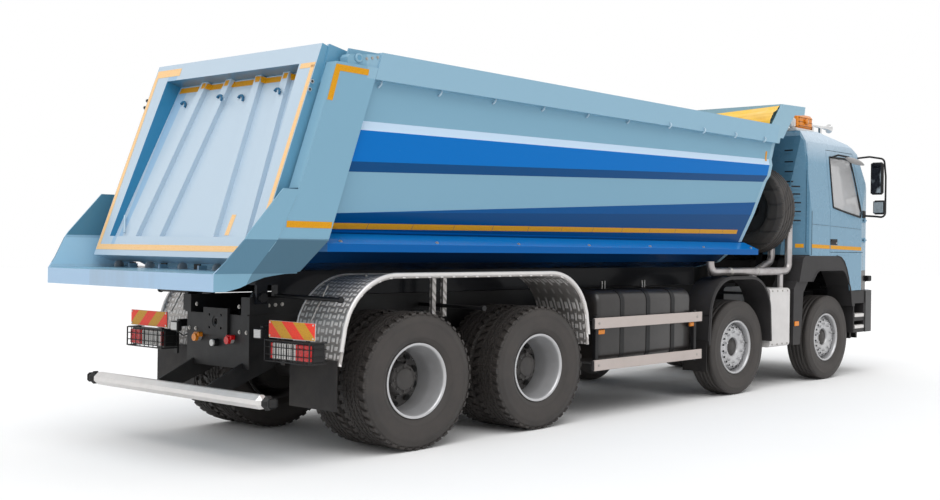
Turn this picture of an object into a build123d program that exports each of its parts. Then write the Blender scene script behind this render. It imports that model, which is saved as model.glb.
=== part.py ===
from build123d import *
import os
from math import cos, radians, sin, tan

os.makedirs("parts", exist_ok=True)

# Millimetres: X forward, Y to the left, Z up, from the middle of the vehicle on the road

# Overall sizes
HALF_LENGTH = 4850
HALF_WIDTH = 1250
RUN_GAP = 6
SEAT_GAP = 0.3
PIN_GAP = 0.08

# Wheels
TYRE_R_FRONT = 525
TYRE_R_REAR = 545
TYRE_HALF = 155
RIM_SEAT_R = 286
RIM_FLANGE_R = 299
RIM_WALL = 12
BEAD_HALF = 112
FRONT_TRACK_HALF = 1050
TWIN_MID = 920
TWIN_OFFSET = 170
SPINDLE_R = 45
KINGPIN_OUT = -170
KINGPIN_R = 22
AXLE_STUB_R = 70
SHAFT_R = 48

# Columns: axle number, place along the vehicle, tyre radius
STEERED_AXLES = [(1, 3450, TYRE_R_FRONT), (2, 1415, TYRE_R_FRONT)]
DRIVEN_AXLES = [(3, -1780, TYRE_R_REAR), (4, -3150, TYRE_R_REAR)]
# Columns: side name, sign of Y
SIDES = [("right", -1), ("left", 1)]

# Chassis frame
RAIL_OUT = 425
RAIL_FLANGE = 80
RAIL_WALL = 10
RAIL_LOW = 760
RAIL_TOP = 1060
RAIL_REAR = -4100
RAIL_FRONT = 4400
SUBFRAME_TOP = 1200
SUBFRAME_FRONT = 2490

# Tipping body
TIP_X = -4050
TIP_Z = 1200
TIP_PIN_R = 35
FLOOR_LOW = 1400
BODY_TOP = 3070
BODY_WALL = 14
RAIL_BOX_LOW = 2860
RAIL_BOX_WIDE = 74
GATE_TILT = 18.2
GATE_THICK = 165
GATE_HALF = 1110
GATE_TOP = 3090
GATE_LOW = 1503
GATE_REAR_X = -3995
GATE_PIN_X = -3775
GATE_PIN_Z = 3000
GATE_PIN_R = 25
POST_IN = 1130
POST_TOP = 2950
HEAD_TILT = 19.8
HEAD_X = 2150
HEAD_Z = 2860
HEAD_THICK = 60
CREASE_Z = 1640
SKIRT_IN = 1150
LIP_Z = 1400
LIP_DROP = 120
LEDGE_FRONT = 1790

# The body's walls between two cross-sections; the folds rise towards the front
SECTION_REAR = -4700
SECTION_FRONT = 2400
# Columns: half width at the rear, half width at the front, height at the rear, height at the front
WALL_BENDS = [
    (1190, 1190, 2517, 2674),
    (1218, 1218, 2446, 2606),
    (1218, 1218, 2189, 2492),
    (1182, 1182, 2113, 2422),
    (1135, 1105, 1824, 2040),
    (1010, 1010, 1690, 1690),
    (800, 770, 1470, 1470),
    (480, 450, FLOOR_LOW, FLOOR_LOW),
]

# Hoist
HOIST_X = 2330
HOIST_LOW_Z = 1010
HOIST_HIGH_Z = 2700
HOIST_PIN_R = 35
HOIST_R = 100
HOIST_WALL = 12
HOIST_STAGES = 4
HOIST_CLEAR = 2

# Cab
CAB_ROOF = 3115
CAB_FRONT = HALF_LENGTH - 60
CAB_WALL = 55
CAB_LOW = 1550
DOOR_REAR = 3390
DOOR_FRONT = 4306
DOOR_LOW = 1600
DOOR_TOP = CAB_ROOF - 235
GLASS = 6

GATE_LEAN = tan(radians(GATE_TILT))
HEAD_LEAN = tan(radians(HEAD_TILT))
GATE_DEPTH = GATE_THICK / cos(radians(GATE_TILT))
HEAD_DEPTH = HEAD_THICK / cos(radians(HEAD_TILT))


def gate_front_x(z):
    """Place of the tailgate's inner face at a height."""
    return GATE_REAR_X + GATE_DEPTH + (z - GATE_TOP) * GATE_LEAN


def head_front_x(z):
    """Place of the headboard's front face at a height."""
    return HEAD_X + (z - HEAD_Z) * HEAD_LEAN


def block(x, y, z, mode=Mode.ADD):
    """A box between two places along each axis."""
    with Locations(((x[0] + x[1]) / 2, (y[0] + y[1]) / 2, (z[0] + z[1]) / 2)):
        return Box(x[1] - x[0], y[1] - y[0], z[1] - z[0], mode=mode)


def plate(points, plane, thickness):
    """An outline in a plane, thickened along the plane's normal."""
    with BuildPart() as made:
        with BuildSketch(plane):
            Polygon(*points, align=None)
        extrude(amount=thickness)
    return made.part


def ring(profile, centre, turn):
    """A profile of radius and place along Y, revolved about the Y axis through a centre."""
    with BuildPart() as made:
        with BuildSketch(Plane(origin=centre, x_dir=(1, 0, 0), z_dir=(0, 0, 1))):
            Polygon(*[(radius, turn * out) for radius, out in profile], align=None)
        revolve(axis=Axis(centre, (0, 1, 0)))
    return made.part


def tyre_profile(outer, shift=0):
    """Half section of a tyre on its rim seat, from bead to bead."""
    half = [
        (RIM_SEAT_R, BEAD_HALF),
        (RIM_FLANGE_R + 6, BEAD_HALF),
        (RIM_FLANGE_R + 12, BEAD_HALF + 16),
        (outer - 130, TYRE_HALF),
        (outer - 62, TYRE_HALF - 3),
        (outer - 18, TYRE_HALF - 12),
        (outer, TYRE_HALF - 34),
    ]
    other = [(radius, -out) for radius, out in reversed(half)]
    return [(radius, out + shift) for radius, out in half + other]


# Steered wheels: tyre, rim with its hub, and the knuckle that it turns on
FRONT_DISC_OUT = 84
FRONT_DISC_R = 190
FRONT_HUB_R = 95
NUT_HOLES = 10
for number, axle_x, radius in STEERED_AXLES:
    for side, turn in SIDES:
        centre = (axle_x, turn * FRONT_TRACK_HALF, radius)
        barrel_in = RIM_SEAT_R - RIM_WALL
        flange_out = BEAD_HALF + RIM_WALL
        with BuildPart() as tyre:
            add(ring(tyre_profile(radius), centre, turn))
        tyre.part.label = f"tyre_{number}_{side}"
        export_step(tyre.part, f"parts/tyre_{number}_{side}.step")

        with BuildPart() as rim:
            add(ring([
                (RIM_FLANGE_R, flange_out),
                (RIM_FLANGE_R, BEAD_HALF),
                (RIM_SEAT_R, BEAD_HALF),
                (RIM_SEAT_R, -BEAD_HALF),
                (RIM_FLANGE_R, -BEAD_HALF),
                (RIM_FLANGE_R, -flange_out),
                (barrel_in, -flange_out),
                (barrel_in, 0),
                (FRONT_DISC_R, FRONT_DISC_OUT - 16),
                (FRONT_HUB_R, FRONT_DISC_OUT - 16),
                (FRONT_HUB_R, -60),
                (SPINDLE_R + PIN_GAP, -60),
                (SPINDLE_R + PIN_GAP, FRONT_DISC_OUT - 24),
                (0, FRONT_DISC_OUT - 24),
                (0, FRONT_DISC_OUT - 8),
                (FRONT_HUB_R - 12, FRONT_DISC_OUT - 8),
                (FRONT_HUB_R, FRONT_DISC_OUT),
                (FRONT_DISC_R, FRONT_DISC_OUT),
                (barrel_in, 16),
                (barrel_in, flange_out),
            ], centre, turn))
            with BuildSketch(Plane(origin=centre, x_dir=(1, 0, 0), z_dir=(0, turn, 0))):
                with PolarLocations(FRONT_DISC_R + 34, NUT_HOLES):
                    Circle(20)
            extrude(amount=flange_out, mode=Mode.SUBTRACT)
        rim.part.label = f"rim_{number}_{side}"
        export_step(rim.part, f"parts/rim_{number}_{side}.step")

        pin_y = turn * (FRONT_TRACK_HALF + KINGPIN_OUT)
        fork_low, fork_high = 88, 122
        with BuildPart() as knuckle:
            with Locations(Plane((axle_x, pin_y, radius - fork_high))):
                Cylinder(KINGPIN_R, 2 * fork_high, align=(Align.CENTER, Align.CENTER, Align.MIN))
            for level in (-1, 1):
                block((axle_x - 48, axle_x + 48),
                      sorted((pin_y - turn * 40, pin_y + turn * 62)),
                      sorted((radius + level * fork_low, radius + level * fork_high)))
            block((axle_x - 60, axle_x + 60),
                  sorted((pin_y + turn * 46, pin_y + turn * 66)),
                  (radius - fork_high, radius + fork_high))
            with BuildSketch(Plane((axle_x, pin_y + turn * 60, radius), (1, 0, 0), (0, turn, 0))):
                Circle(200)
            extrude(amount=10)
            with BuildSketch(Plane((axle_x, pin_y + turn * 60, radius), (1, 0, 0), (0, turn, 0))):
                Circle(SPINDLE_R)
            extrude(amount=FRONT_DISC_OUT - 30 - KINGPIN_OUT - 60)
        knuckle.part.label = f"knuckle_{number}_{side}"
        export_step(knuckle.part, f"parts/knuckle_{number}_{side}.step")

# Driven wheels: two tyres on one pair of deep-dished rims with a reduction hub
HUB_R = 120
HUB_OUT = 150
HAND_HOLES = 10
twin_wheels = [
    (number, axle_x, radius, side, turn)
    for number, axle_x, radius in DRIVEN_AXLES
    for side, turn in SIDES
]
for number, axle_x, radius, side, turn in twin_wheels:
    centre = (axle_x, turn * TWIN_MID, radius)
    with BuildPart() as tyre:
        add(ring(tyre_profile(radius, TWIN_OFFSET), centre, turn))
        add(ring(tyre_profile(radius, -TWIN_OFFSET), centre, turn))
    tyre.part.label = f"tyre_{number}_{side}"
    export_step(tyre.part, f"parts/tyre_{number}_{side}.step")

    half = [
        (RIM_FLANGE_R, TWIN_OFFSET + flange_out),
        (RIM_FLANGE_R, TWIN_OFFSET + BEAD_HALF),
        (RIM_SEAT_R, TWIN_OFFSET + BEAD_HALF),
        (RIM_SEAT_R, TWIN_OFFSET - BEAD_HALF),
        (RIM_FLANGE_R, TWIN_OFFSET - BEAD_HALF),
        (RIM_FLANGE_R, TWIN_OFFSET - flange_out),
        (barrel_in - 8, TWIN_OFFSET - flange_out),
        (225, 12),
    ]
    other = [(r, -out) for r, out in reversed(half)]
    with BuildPart() as rim:
        add(ring(half + other + [
            (barrel_in, -TWIN_OFFSET - flange_out),
            (barrel_in, -TWIN_OFFSET + 100),
            (215, -14),
            (HUB_R + 30, -14),
            (HUB_R + 30, -200),
            (AXLE_STUB_R + PIN_GAP, -200),
            (AXLE_STUB_R + PIN_GAP, 60),
            (0, 60),
            (0, HUB_OUT),
            (HUB_R - 20, HUB_OUT),
            (HUB_R, HUB_OUT - 20),
            (HUB_R, 14),
            (215, 14),
            (barrel_in, TWIN_OFFSET - 100),
            (barrel_in, TWIN_OFFSET + flange_out),
        ], centre, turn))
        with BuildSketch(Plane((axle_x, turn * (TWIN_MID - 60), radius), (1, 0, 0), (0, turn, 0))):
            with PolarLocations(HUB_R + 66, HAND_HOLES):
                Circle(22)
        extrude(amount=120, mode=Mode.SUBTRACT)
    rim.part.label = f"rim_{number}_{side}"
    export_step(rim.part, f"parts/rim_{number}_{side}.step")

# Spare wheel, on edge across the vehicle behind the cab
SPARE_X = 2350
SPARE_Y = -750
SPARE_Z = 2100
SPARE_HUB_IN = 30
SPARE_HUB_OUT = 60
CARRIER_X = SPARE_X + TYRE_HALF + 5
CARRIER_R = 80
CARRIER_BAR = 30
with BuildPart() as spare_wheel:
    with BuildSketch(Plane((SPARE_X, SPARE_Y, SPARE_Z), (0, 0, 1), (0, -1, 0))):
        Polygon(*tyre_profile(TYRE_R_FRONT), align=None)
        Polygon((RIM_SEAT_R, -BEAD_HALF), (RIM_SEAT_R, BEAD_HALF), (0, SPARE_HUB_OUT),
                (0, SPARE_HUB_IN), align=None)
    revolve(axis=Axis((SPARE_X, SPARE_Y, SPARE_Z), (1, 0, 0)))
spare_wheel.part.label = "spare_wheel"
export_step(spare_wheel.part, "parts/spare_wheel.step")

# Axles: dropped beams in front, housings with a centre drive behind
EYE_R = KINGPIN_R + 16
with BuildPart() as front_axles:
    for number, axle_x, radius in STEERED_AXLES:
        eye_y = FRONT_TRACK_HALF + KINGPIN_OUT
        add(plate([
            (-eye_y, radius + 35), (-660, radius + 35), (-560, radius - 30),
            (560, radius - 30), (660, radius + 35), (eye_y, radius + 35),
            (eye_y, radius - 40), (700, radius - 40), (600, radius - 125),
            (-600, radius - 125), (-700, radius - 40), (-eye_y, radius - 40),
        ], Plane.YZ.offset(axle_x - EYE_R), 2 * EYE_R))
        with Locations(*[(axle_x, turn * eye_y, radius) for side, turn in SIDES]):
            Cylinder(EYE_R, 160)
        with Locations(*[(axle_x, turn * eye_y, radius) for side, turn in SIDES]):
            Cylinder(KINGPIN_R + PIN_GAP, 170, mode=Mode.SUBTRACT)
front_axles.part.label = "front_axles"
export_step(front_axles.part, "parts/front_axles.step")

with BuildPart() as rear_axles:
    for number, axle_x, radius in DRIVEN_AXLES:
        with BuildSketch(Plane((axle_x, 0, radius), (1, 0, 0), (0, 1, 0))):
            Circle(AXLE_STUB_R)
        extrude(amount=TWIN_MID + 50, both=True)
        with BuildSketch(Plane((axle_x, 0, radius), (1, 0, 0), (0, 1, 0))):
            Circle(AXLE_STUB_R + 15)
        extrude(amount=540, both=True)
        with BuildSketch(Plane((axle_x, 0, radius), (1, 0, 0), (0, 1, 0))):
            Circle(215)
        extrude(amount=110, both=True)
        for turn in (-1, 1):
            add(ring([(60, 540), (205, 560), (205, 700), (60, 715)], (axle_x, 0, radius), turn))
        with BuildSketch(Plane((axle_x, 0, radius), (0, 1, 0), (1, 0, 0))):
            Circle(85)
        extrude(amount=330)
    with BuildSketch(Plane((DRIVEN_AXLES[1][1], 0, TYRE_R_REAR), (0, 1, 0), (1, 0, 0))):
        Circle(SHAFT_R)
    extrude(amount=DRIVEN_AXLES[0][1] - DRIVEN_AXLES[1][1])
rear_axles.part.label = "rear_axles"
export_step(rear_axles.part, "parts/rear_axles.step")

# Leaf springs: one pack over each front beam, one inverted pack over each side of the bogie
LEAF_WIDE = 80
with BuildPart() as springs:
    for number, axle_x, radius in STEERED_AXLES:
        seat = radius - 30 + SEAT_GAP
        pack = [
            (-760, RAIL_LOW - SEAT_GAP), (-820, RAIL_LOW - SEAT_GAP), (-810, seat + 130), (-700, seat + 90),
            (-300, seat + 20), (-120, seat), (120, seat), (300, seat + 20), (700, seat + 90),
            (810, seat + 130), (820, RAIL_LOW - SEAT_GAP), (760, RAIL_LOW - SEAT_GAP), (740, seat + 130),
            (400, seat + 95), (120, seat + 90), (-120, seat + 90), (-400, seat + 95), (-740, seat + 130),
        ]
        for turn in (-1, 1):
            spring_y = turn * (RAIL_OUT - RAIL_FLANGE / 2)
            add(plate([(axle_x + x, z) for x, z in pack],
                      Plane.XZ.offset(-spring_y - LEAF_WIDE / 2), LEAF_WIDE))
    bogie_x = (DRIVEN_AXLES[0][1] + DRIVEN_AXLES[1][1]) / 2
    rest = TYRE_R_REAR + AXLE_STUB_R + 15 + SEAT_GAP
    reach = (DRIVEN_AXLES[0][1] - DRIVEN_AXLES[1][1]) / 2
    for turn in (-1, 1):
        inner = RAIL_OUT + SEAT_GAP
        spring_y = turn * (inner + 15 + LEAF_WIDE / 2)
        add(plate([
            (bogie_x - reach - 60, rest), (bogie_x - reach + 60, rest), (bogie_x - 130, rest + 20),
            (bogie_x + 130, rest + 20), (bogie_x + reach - 60, rest), (bogie_x + reach + 60, rest),
            (bogie_x + reach + 60, rest + 30), (bogie_x + 130, rest + 170),
            (bogie_x - 130, rest + 170), (bogie_x - reach - 60, rest + 30),
        ], Plane.XZ.offset(-spring_y - LEAF_WIDE / 2), LEAF_WIDE))
        add(plate([
            (bogie_x - 60, 520), (bogie_x + 60, 520), (bogie_x + 160, RAIL_LOW + 200),
            (bogie_x - 160, RAIL_LOW + 200),
        ], Plane.XZ.offset(-turn * inner - (14 if turn > 0 else 0)), 14))
        with BuildSketch(Plane((bogie_x, turn * inner, 605), (1, 0, 0), (0, turn, 0))):
            Circle(55)
        extrude(amount=LEAF_WIDE + 40)
springs.part.label = "springs"
export_step(springs.part, "parts/springs.step")

# Chassis frame: channel rails, cross members, rear plate for the drawbar coupling, bar arms
DRAWBAR_HALF = 165
DRAWBAR_LOW = 895
DRAWBAR_TOP = 1105
BOLT_WIDE = 160
BOLT_HIGH = 100
BOLT_R = 10.5
BAR_X = -4450
BAR_Z = 500
BAR_SIZE = 100
CROSS_MEMBERS = [-3700, -3150, -2465, -1780, -900, 300, 1100]
with BuildPart() as frame:
    for turn in (-1, 1):
        block((RAIL_REAR, RAIL_FRONT), sorted((turn * RAIL_OUT, turn * (RAIL_OUT - RAIL_WALL))),
              (RAIL_LOW, RAIL_TOP))
        for low in (RAIL_LOW, RAIL_TOP - RAIL_WALL):
            block((RAIL_REAR, RAIL_FRONT), sorted((turn * RAIL_OUT, turn * (RAIL_OUT - RAIL_FLANGE))),
                  (low, low + RAIL_WALL))
        add(plate([
            (-3700, RAIL_LOW + 30), (RAIL_REAR, RAIL_LOW + 30), (RAIL_REAR, RAIL_LOW - 60),
            (BAR_X + BAR_SIZE / 2, BAR_Z + 45), (BAR_X + BAR_SIZE / 2, BAR_Z - 45),
            (BAR_X + 140, BAR_Z - 45), (-3850, RAIL_LOW - 120),
        ], Plane.XZ.offset(-turn * (RAIL_OUT - 90) - 10), 20))
    for place in CROSS_MEMBERS:
        block((place - 5, place + 5), (-RAIL_OUT + 5, RAIL_OUT - 5), (RAIL_LOW + 10, RAIL_TOP - 10))
        with BuildSketch(Plane.YZ.offset(place - 10)):
            with Locations((-200, 910), (200, 910)):
                Circle(80)
        extrude(amount=20, mode=Mode.SUBTRACT)
    block((RAIL_REAR - 12, RAIL_REAR), (-RAIL_OUT, RAIL_OUT), (RAIL_LOW - 110, RAIL_TOP - SEAT_GAP))
    block((RAIL_REAR - 32, RAIL_REAR - 12), (-DRAWBAR_HALF, DRAWBAR_HALF), (DRAWBAR_LOW, DRAWBAR_TOP))
    drawbar_z = (DRAWBAR_LOW + DRAWBAR_TOP) / 2
    with BuildSketch(Plane.YZ.offset(RAIL_REAR - 40)):
        with Locations((0, drawbar_z)):
            Circle(42)
            with GridLocations(BOLT_WIDE, BOLT_HIGH, 2, 2):
                Circle(BOLT_R)
    extrude(amount=60, mode=Mode.SUBTRACT)
    block((RAIL_FRONT, RAIL_FRONT + 12), (-RAIL_OUT, RAIL_OUT), (RAIL_LOW, RAIL_TOP))
    carrier_x = (CARRIER_X, CARRIER_X + CARRIER_BAR)
    block(carrier_x, (SPARE_Y - 40, RAIL_FLANGE - RAIL_OUT), (RAIL_TOP, RAIL_TOP + 90))
    block(carrier_x, (SPARE_Y - 40, SPARE_Y + 40), (RAIL_TOP, SPARE_Z + 90))
    hub_slope = (BEAD_HALF + SPARE_HUB_IN) / RIM_SEAT_R
    carrier_face = SPARE_X - SPARE_HUB_IN + CARRIER_R * hub_slope + SEAT_GAP
    with BuildSketch(Plane.YZ.offset(carrier_face)):
        with Locations((SPARE_Y, SPARE_Z)):
            Circle(CARRIER_R)
    extrude(amount=CARRIER_X - carrier_face)
frame.part.label = "frame"
export_step(frame.part, "parts/frame.step")

# Tipper subframe with the hoist's cradle and the brackets of the tipping hinge
BRACKET = 30
cradle_out = RAIL_OUT - RAIL_FLANGE - SEAT_GAP
with BuildPart() as subframe:
    for turn in (-1, 1):
        block((RAIL_REAR - 30, SUBFRAME_FRONT), sorted((turn * RAIL_OUT, turn * (RAIL_OUT - RAIL_FLANGE))),
              (RAIL_TOP + SEAT_GAP, SUBFRAME_TOP))
        bracket_y = turn * RAIL_OUT
        with BuildSketch(Plane((TIP_X, bracket_y, TIP_Z), (1, 0, 0), (0, turn, 0))):
            Circle(60)
        extrude(amount=BRACKET)
        block((TIP_X - 80, TIP_X + 80), sorted((bracket_y, bracket_y + turn * BRACKET)),
              (RAIL_TOP + 10, TIP_Z))
        with BuildSketch(Plane((TIP_X, bracket_y, TIP_Z), (1, 0, 0), (0, turn, 0))):
            Circle(TIP_PIN_R)
        extrude(amount=BRACKET + 60)
        block((HOIST_X - 160, HOIST_X + 160), sorted((turn * cradle_out, turn * 118)),
              (RAIL_LOW + 60, RAIL_LOW + 140))
        block((HOIST_X - 160, HOIST_X + 160), sorted((turn * cradle_out, turn * (cradle_out - 40))),
              (RAIL_LOW + 60, SUBFRAME_TOP))
        block((HOIST_X - 160, HOIST_X + 160), sorted((turn * RAIL_OUT, turn * (cradle_out - 40))),
              (RAIL_TOP + SEAT_GAP, SUBFRAME_TOP))
        block((HOIST_X - 50, HOIST_X + 50), sorted((turn * 118, turn * 150)),
              (RAIL_LOW + 60, HOIST_LOW_Z + 50))
        with BuildSketch(Plane((HOIST_X, turn * 110, HOIST_LOW_Z), (1, 0, 0), (0, turn, 0))):
            Circle(HOIST_PIN_R + PIN_GAP)
        extrude(amount=60, mode=Mode.SUBTRACT)
    block((HOIST_X - 160, HOIST_X + 160), (-120, 120), (RAIL_LOW + 60, RAIL_LOW + 100))
    for place in (-3600, -2400, -1200, 0, 1200, 1950):
        block((place - 40, place + 40), (-RAIL_OUT + 20, RAIL_OUT - 20), (RAIL_TOP + 20, SUBFRAME_TOP - 20))
subframe.part.label = "subframe"
export_step(subframe.part, "parts/subframe.step")

# Hoist: a barrel on trunnions and four nested stages, the last one with the rod's eye
HOIST_BASE = HOIST_LOW_Z - 45
HOIST_CLOSED = HOIST_HIGH_Z - 110
GLAND = 40


def bore(outer, low, top):
    """The hollow of a tube, narrowed by a gland at its top to run on the next stage."""
    with BuildPart() as hollow:
        with BuildSketch(Plane.XY.offset(low)):
            with Locations((HOIST_X, 0)):
                Circle(outer - HOIST_WALL)
        extrude(amount=top - low - GLAND)
        with BuildSketch(Plane.XY.offset(low)):
            with Locations((HOIST_X, 0)):
                Circle(outer - HOIST_WALL - HOIST_CLEAR + PIN_GAP)
        extrude(amount=top - low)
    return hollow.part


with BuildPart() as hoist_barrel:
    with BuildSketch(Plane.XY.offset(HOIST_BASE)):
        with Locations((HOIST_X, 0)):
            Circle(HOIST_R)
    extrude(amount=HOIST_CLOSED - HOIST_BASE - GLAND)
    add(bore(HOIST_R, HOIST_BASE + 90, HOIST_CLOSED - GLAND), mode=Mode.SUBTRACT)
    with BuildSketch(Plane((HOIST_X, 0, HOIST_LOW_Z), (1, 0, 0), (0, 1, 0))):
        Circle(HOIST_PIN_R)
    extrude(amount=150, both=True)
hoist_barrel.part.label = "hoist_barrel"
export_step(hoist_barrel.part, "parts/hoist_barrel.step")

for stage in range(1, HOIST_STAGES + 1):
    outer = HOIST_R - stage * (HOIST_WALL + HOIST_CLEAR)
    stage_low = HOIST_BASE + 90 + 10 * stage
    stage_top = HOIST_CLOSED - GLAND + 12 * stage
    with BuildPart() as hoist_stage:
        with BuildSketch(Plane.XY.offset(stage_low)):
            with Locations((HOIST_X, 0)):
                Circle(outer)
        extrude(amount=stage_top - stage_low)
        if stage < HOIST_STAGES:
            add(bore(outer, stage_low, stage_top), mode=Mode.SUBTRACT)
        else:
            with BuildSketch(Plane((HOIST_X, 0, HOIST_HIGH_Z), (1, 0, 0), (0, 1, 0))):
                Circle(60)
            extrude(amount=45, both=True)
            block((HOIST_X - 35, HOIST_X + 35), (-35, 35), (HOIST_CLOSED, HOIST_HIGH_Z - 30))
            with BuildSketch(Plane((HOIST_X, 0, HOIST_HIGH_Z), (1, 0, 0), (0, 1, 0))):
                Circle(HOIST_PIN_R)
            extrude(amount=60, both=True, mode=Mode.SUBTRACT)
    hoist_stage.part.label = f"hoist_stage_{stage}"
    export_step(hoist_stage.part, f"parts/hoist_stage_{stage}.step")


def section(x, column, inset):
    """Body's cross-section at a place along the vehicle, as one closed face."""
    side = [(row[column] - inset, row[column + 2]) for row in WALL_BENDS]
    side[-1] = (side[-1][0], FLOOR_LOW + inset)
    side[-2] = (side[-2][0], side[-2][1] + inset * 0.4)
    top = BODY_TOP if inset == 0 else BODY_TOP + 400
    right = [(side[0][0], top)] + side
    left = [(-y, z) for y, z in reversed(right)]
    with BuildSketch(Plane.YZ.offset(x)) as drawn:
        Polygon(*right, *left, align=None)
    return drawn.sketch.face()


def body_hull(inset):
    """Body's whole form between its rear and front sections."""
    with BuildPart() as hull:
        loft([section(SECTION_REAR, 0, inset), section(SECTION_FRONT, 1, inset)], ruled=True)
    return hull.part


def head_slab(front_gap, depth):
    """Slab that leans forward, between two planes parallel to the headboard."""
    low, high = 1300, BODY_TOP + 500
    return plate([
        (head_front_x(low) - front_gap - depth, low), (head_front_x(low) - front_gap, low),
        (head_front_x(high) - front_gap, high), (head_front_x(high) - front_gap - depth, high),
    ], Plane.XZ.offset(-1400), 2800)


# Corner skirts: post, wing and lip side, upright above the crease and drawn in below it
SKIRT_WALL = 12
post_outline = [
    (-3972, POST_TOP), (-3599, POST_TOP), (-4020, CREASE_Z), (-4190, LIP_Z + 14),
    (-4400, 1386), (-4470, 1375), (-4560, 1345), (-4655, 1305), (-4760, LIP_Z - LIP_DROP),
    (-HALF_LENGTH, LIP_Z - LIP_DROP), (-HALF_LENGTH, LIP_Z), (-4785, 1484), (-4655, 1685),
    (-4395, 2000), (-4274, 2000),
]
with BuildPart() as skirt:
    with BuildSketch(Plane.YZ.offset(-HALF_LENGTH)):
        Polygon(
            (POST_IN, POST_TOP), (HALF_WIDTH, POST_TOP), (HALF_WIDTH, CREASE_Z), (SKIRT_IN, LIP_Z),
            (SKIRT_IN, LIP_Z - LIP_DROP), (SKIRT_IN - SKIRT_WALL, LIP_Z - LIP_DROP),
            (SKIRT_IN - SKIRT_WALL, LIP_Z), (HALF_WIDTH - SKIRT_WALL, CREASE_Z),
            (HALF_WIDTH - SKIRT_WALL, 2010), (POST_IN, 2010), align=None)
    extrude(amount=1500)
    with BuildSketch(Plane.XZ.offset(-1300)):
        Polygon(*post_outline, align=None)
    extrude(amount=200, mode=Mode.INTERSECT)

# Spill lip behind the gate: folded plate with a deep rear edge
with BuildPart() as lip:
    with BuildSketch(Plane.XZ.offset(-SKIRT_IN + SKIRT_WALL)):
        Polygon(
            (-HALF_LENGTH, LIP_Z - LIP_DROP), (-HALF_LENGTH, LIP_Z), (-4200, LIP_Z + BODY_WALL),
            (-4200, LIP_Z), (-HALF_LENGTH + 2 * SKIRT_WALL, LIP_Z - BODY_WALL),
            (-HALF_LENGTH + SKIRT_WALL, LIP_Z - BODY_WALL), (-HALF_LENGTH + SKIRT_WALL, LIP_Z - LIP_DROP),
            align=None)
    extrude(amount=2 * (SKIRT_IN - SKIRT_WALL))

# Tipping body: hollow loft cut to the gate and the headboard, with rails, posts, ledges and lip
LATCH_PLACES = [-710, -270, 270, 710]
LATCH_TOP = 1440
RAIL_REAR_TOP = -3562
RAIL_REAR_LOW = -3625
with BuildPart() as tub:
    add(body_hull(0))
    add(body_hull(BODY_WALL), mode=Mode.SUBTRACT)
    add(plate([
        (-5200, 1200), (gate_front_x(1200) + RUN_GAP, 1200), (gate_front_x(3600) + RUN_GAP, 3600),
        (-5200, 3600),
    ], Plane.XZ.offset(-1400), 2800), mode=Mode.SUBTRACT)
    add(head_slab(-1500, 1500 + HEAD_DEPTH), mode=Mode.SUBTRACT)
    for turn in (-1, 1):
        rail_y = sorted((turn * HALF_WIDTH, turn * (HALF_WIDTH - RAIL_BOX_WIDE)))
        add(plate([
            (RAIL_REAR_LOW, RAIL_BOX_LOW), (head_front_x(RAIL_BOX_LOW) - HEAD_DEPTH, RAIL_BOX_LOW),
            (head_front_x(BODY_TOP) - HEAD_DEPTH, BODY_TOP), (RAIL_REAR_TOP, BODY_TOP),
        ], Plane.XZ.offset(-rail_y[1]), RAIL_BOX_WIDE))
        bracket_y = sorted((turn * (HALF_WIDTH - 12), turn * (POST_IN + 20)))
        add(plate([
            (-3870, POST_TOP - 10), (RAIL_REAR_TOP + 10, POST_TOP - 10), (RAIL_REAR_TOP + 10, BODY_TOP - 12),
            (-3850, BODY_TOP - 50), (-3870, BODY_TOP - 75),
        ], Plane.XZ.offset(-bracket_y[1]), bracket_y[1] - bracket_y[0]))
    with BuildSketch(Plane.YZ.offset(-4080)):
        for turn in (-1, 1):
            Polygon(*[(turn * y, z) for y, z in [
                (1004, 1700), (1210, 1618), (1210, 1558), (1200, 1558), (1200, 1608), (1004, 1686),
            ]], align=None)
    extrude(amount=LEDGE_FRONT + 4080)
    for turn in (-1, 1):
        block((-3900, 1560), sorted((turn * 385, turn * 465)), (SUBFRAME_TOP + RUN_GAP, FLOOR_LOW + 4))
        ear_in = RAIL_OUT + BRACKET + RUN_GAP
        block((TIP_X - 45, TIP_X + 45), sorted((turn * ear_in, turn * (ear_in + 30))),
              (TIP_Z - 50, FLOOR_LOW + 4))
    block((TIP_X - 60, TIP_X + 150), (-ear_in - 30, ear_in + 30), (TIP_Z + 95, FLOOR_LOW + 4))
    with BuildSketch(Plane((TIP_X, 0, TIP_Z), (1, 0, 0), (0, 1, 0))):
        Circle(TIP_PIN_R + PIN_GAP)
    extrude(amount=ear_in + 60, both=True, mode=Mode.SUBTRACT)
    add(skirt.part)
    add(mirror(skirt.part, about=Plane.XZ))
    add(lip.part)
    for latch_y in LATCH_PLACES:
        block((-4440, -4375), (latch_y - 10, latch_y + 10), (LIP_Z - 4, LATCH_TOP))
    with BuildSketch(Plane((GATE_PIN_X, 0, GATE_PIN_Z), (1, 0, 0), (0, 1, 0))):
        Circle(GATE_PIN_R + PIN_GAP)
    extrude(amount=1300, both=True, mode=Mode.SUBTRACT)
tub.part.label = "tub"
export_step(tub.part, "parts/tub.step")

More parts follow.
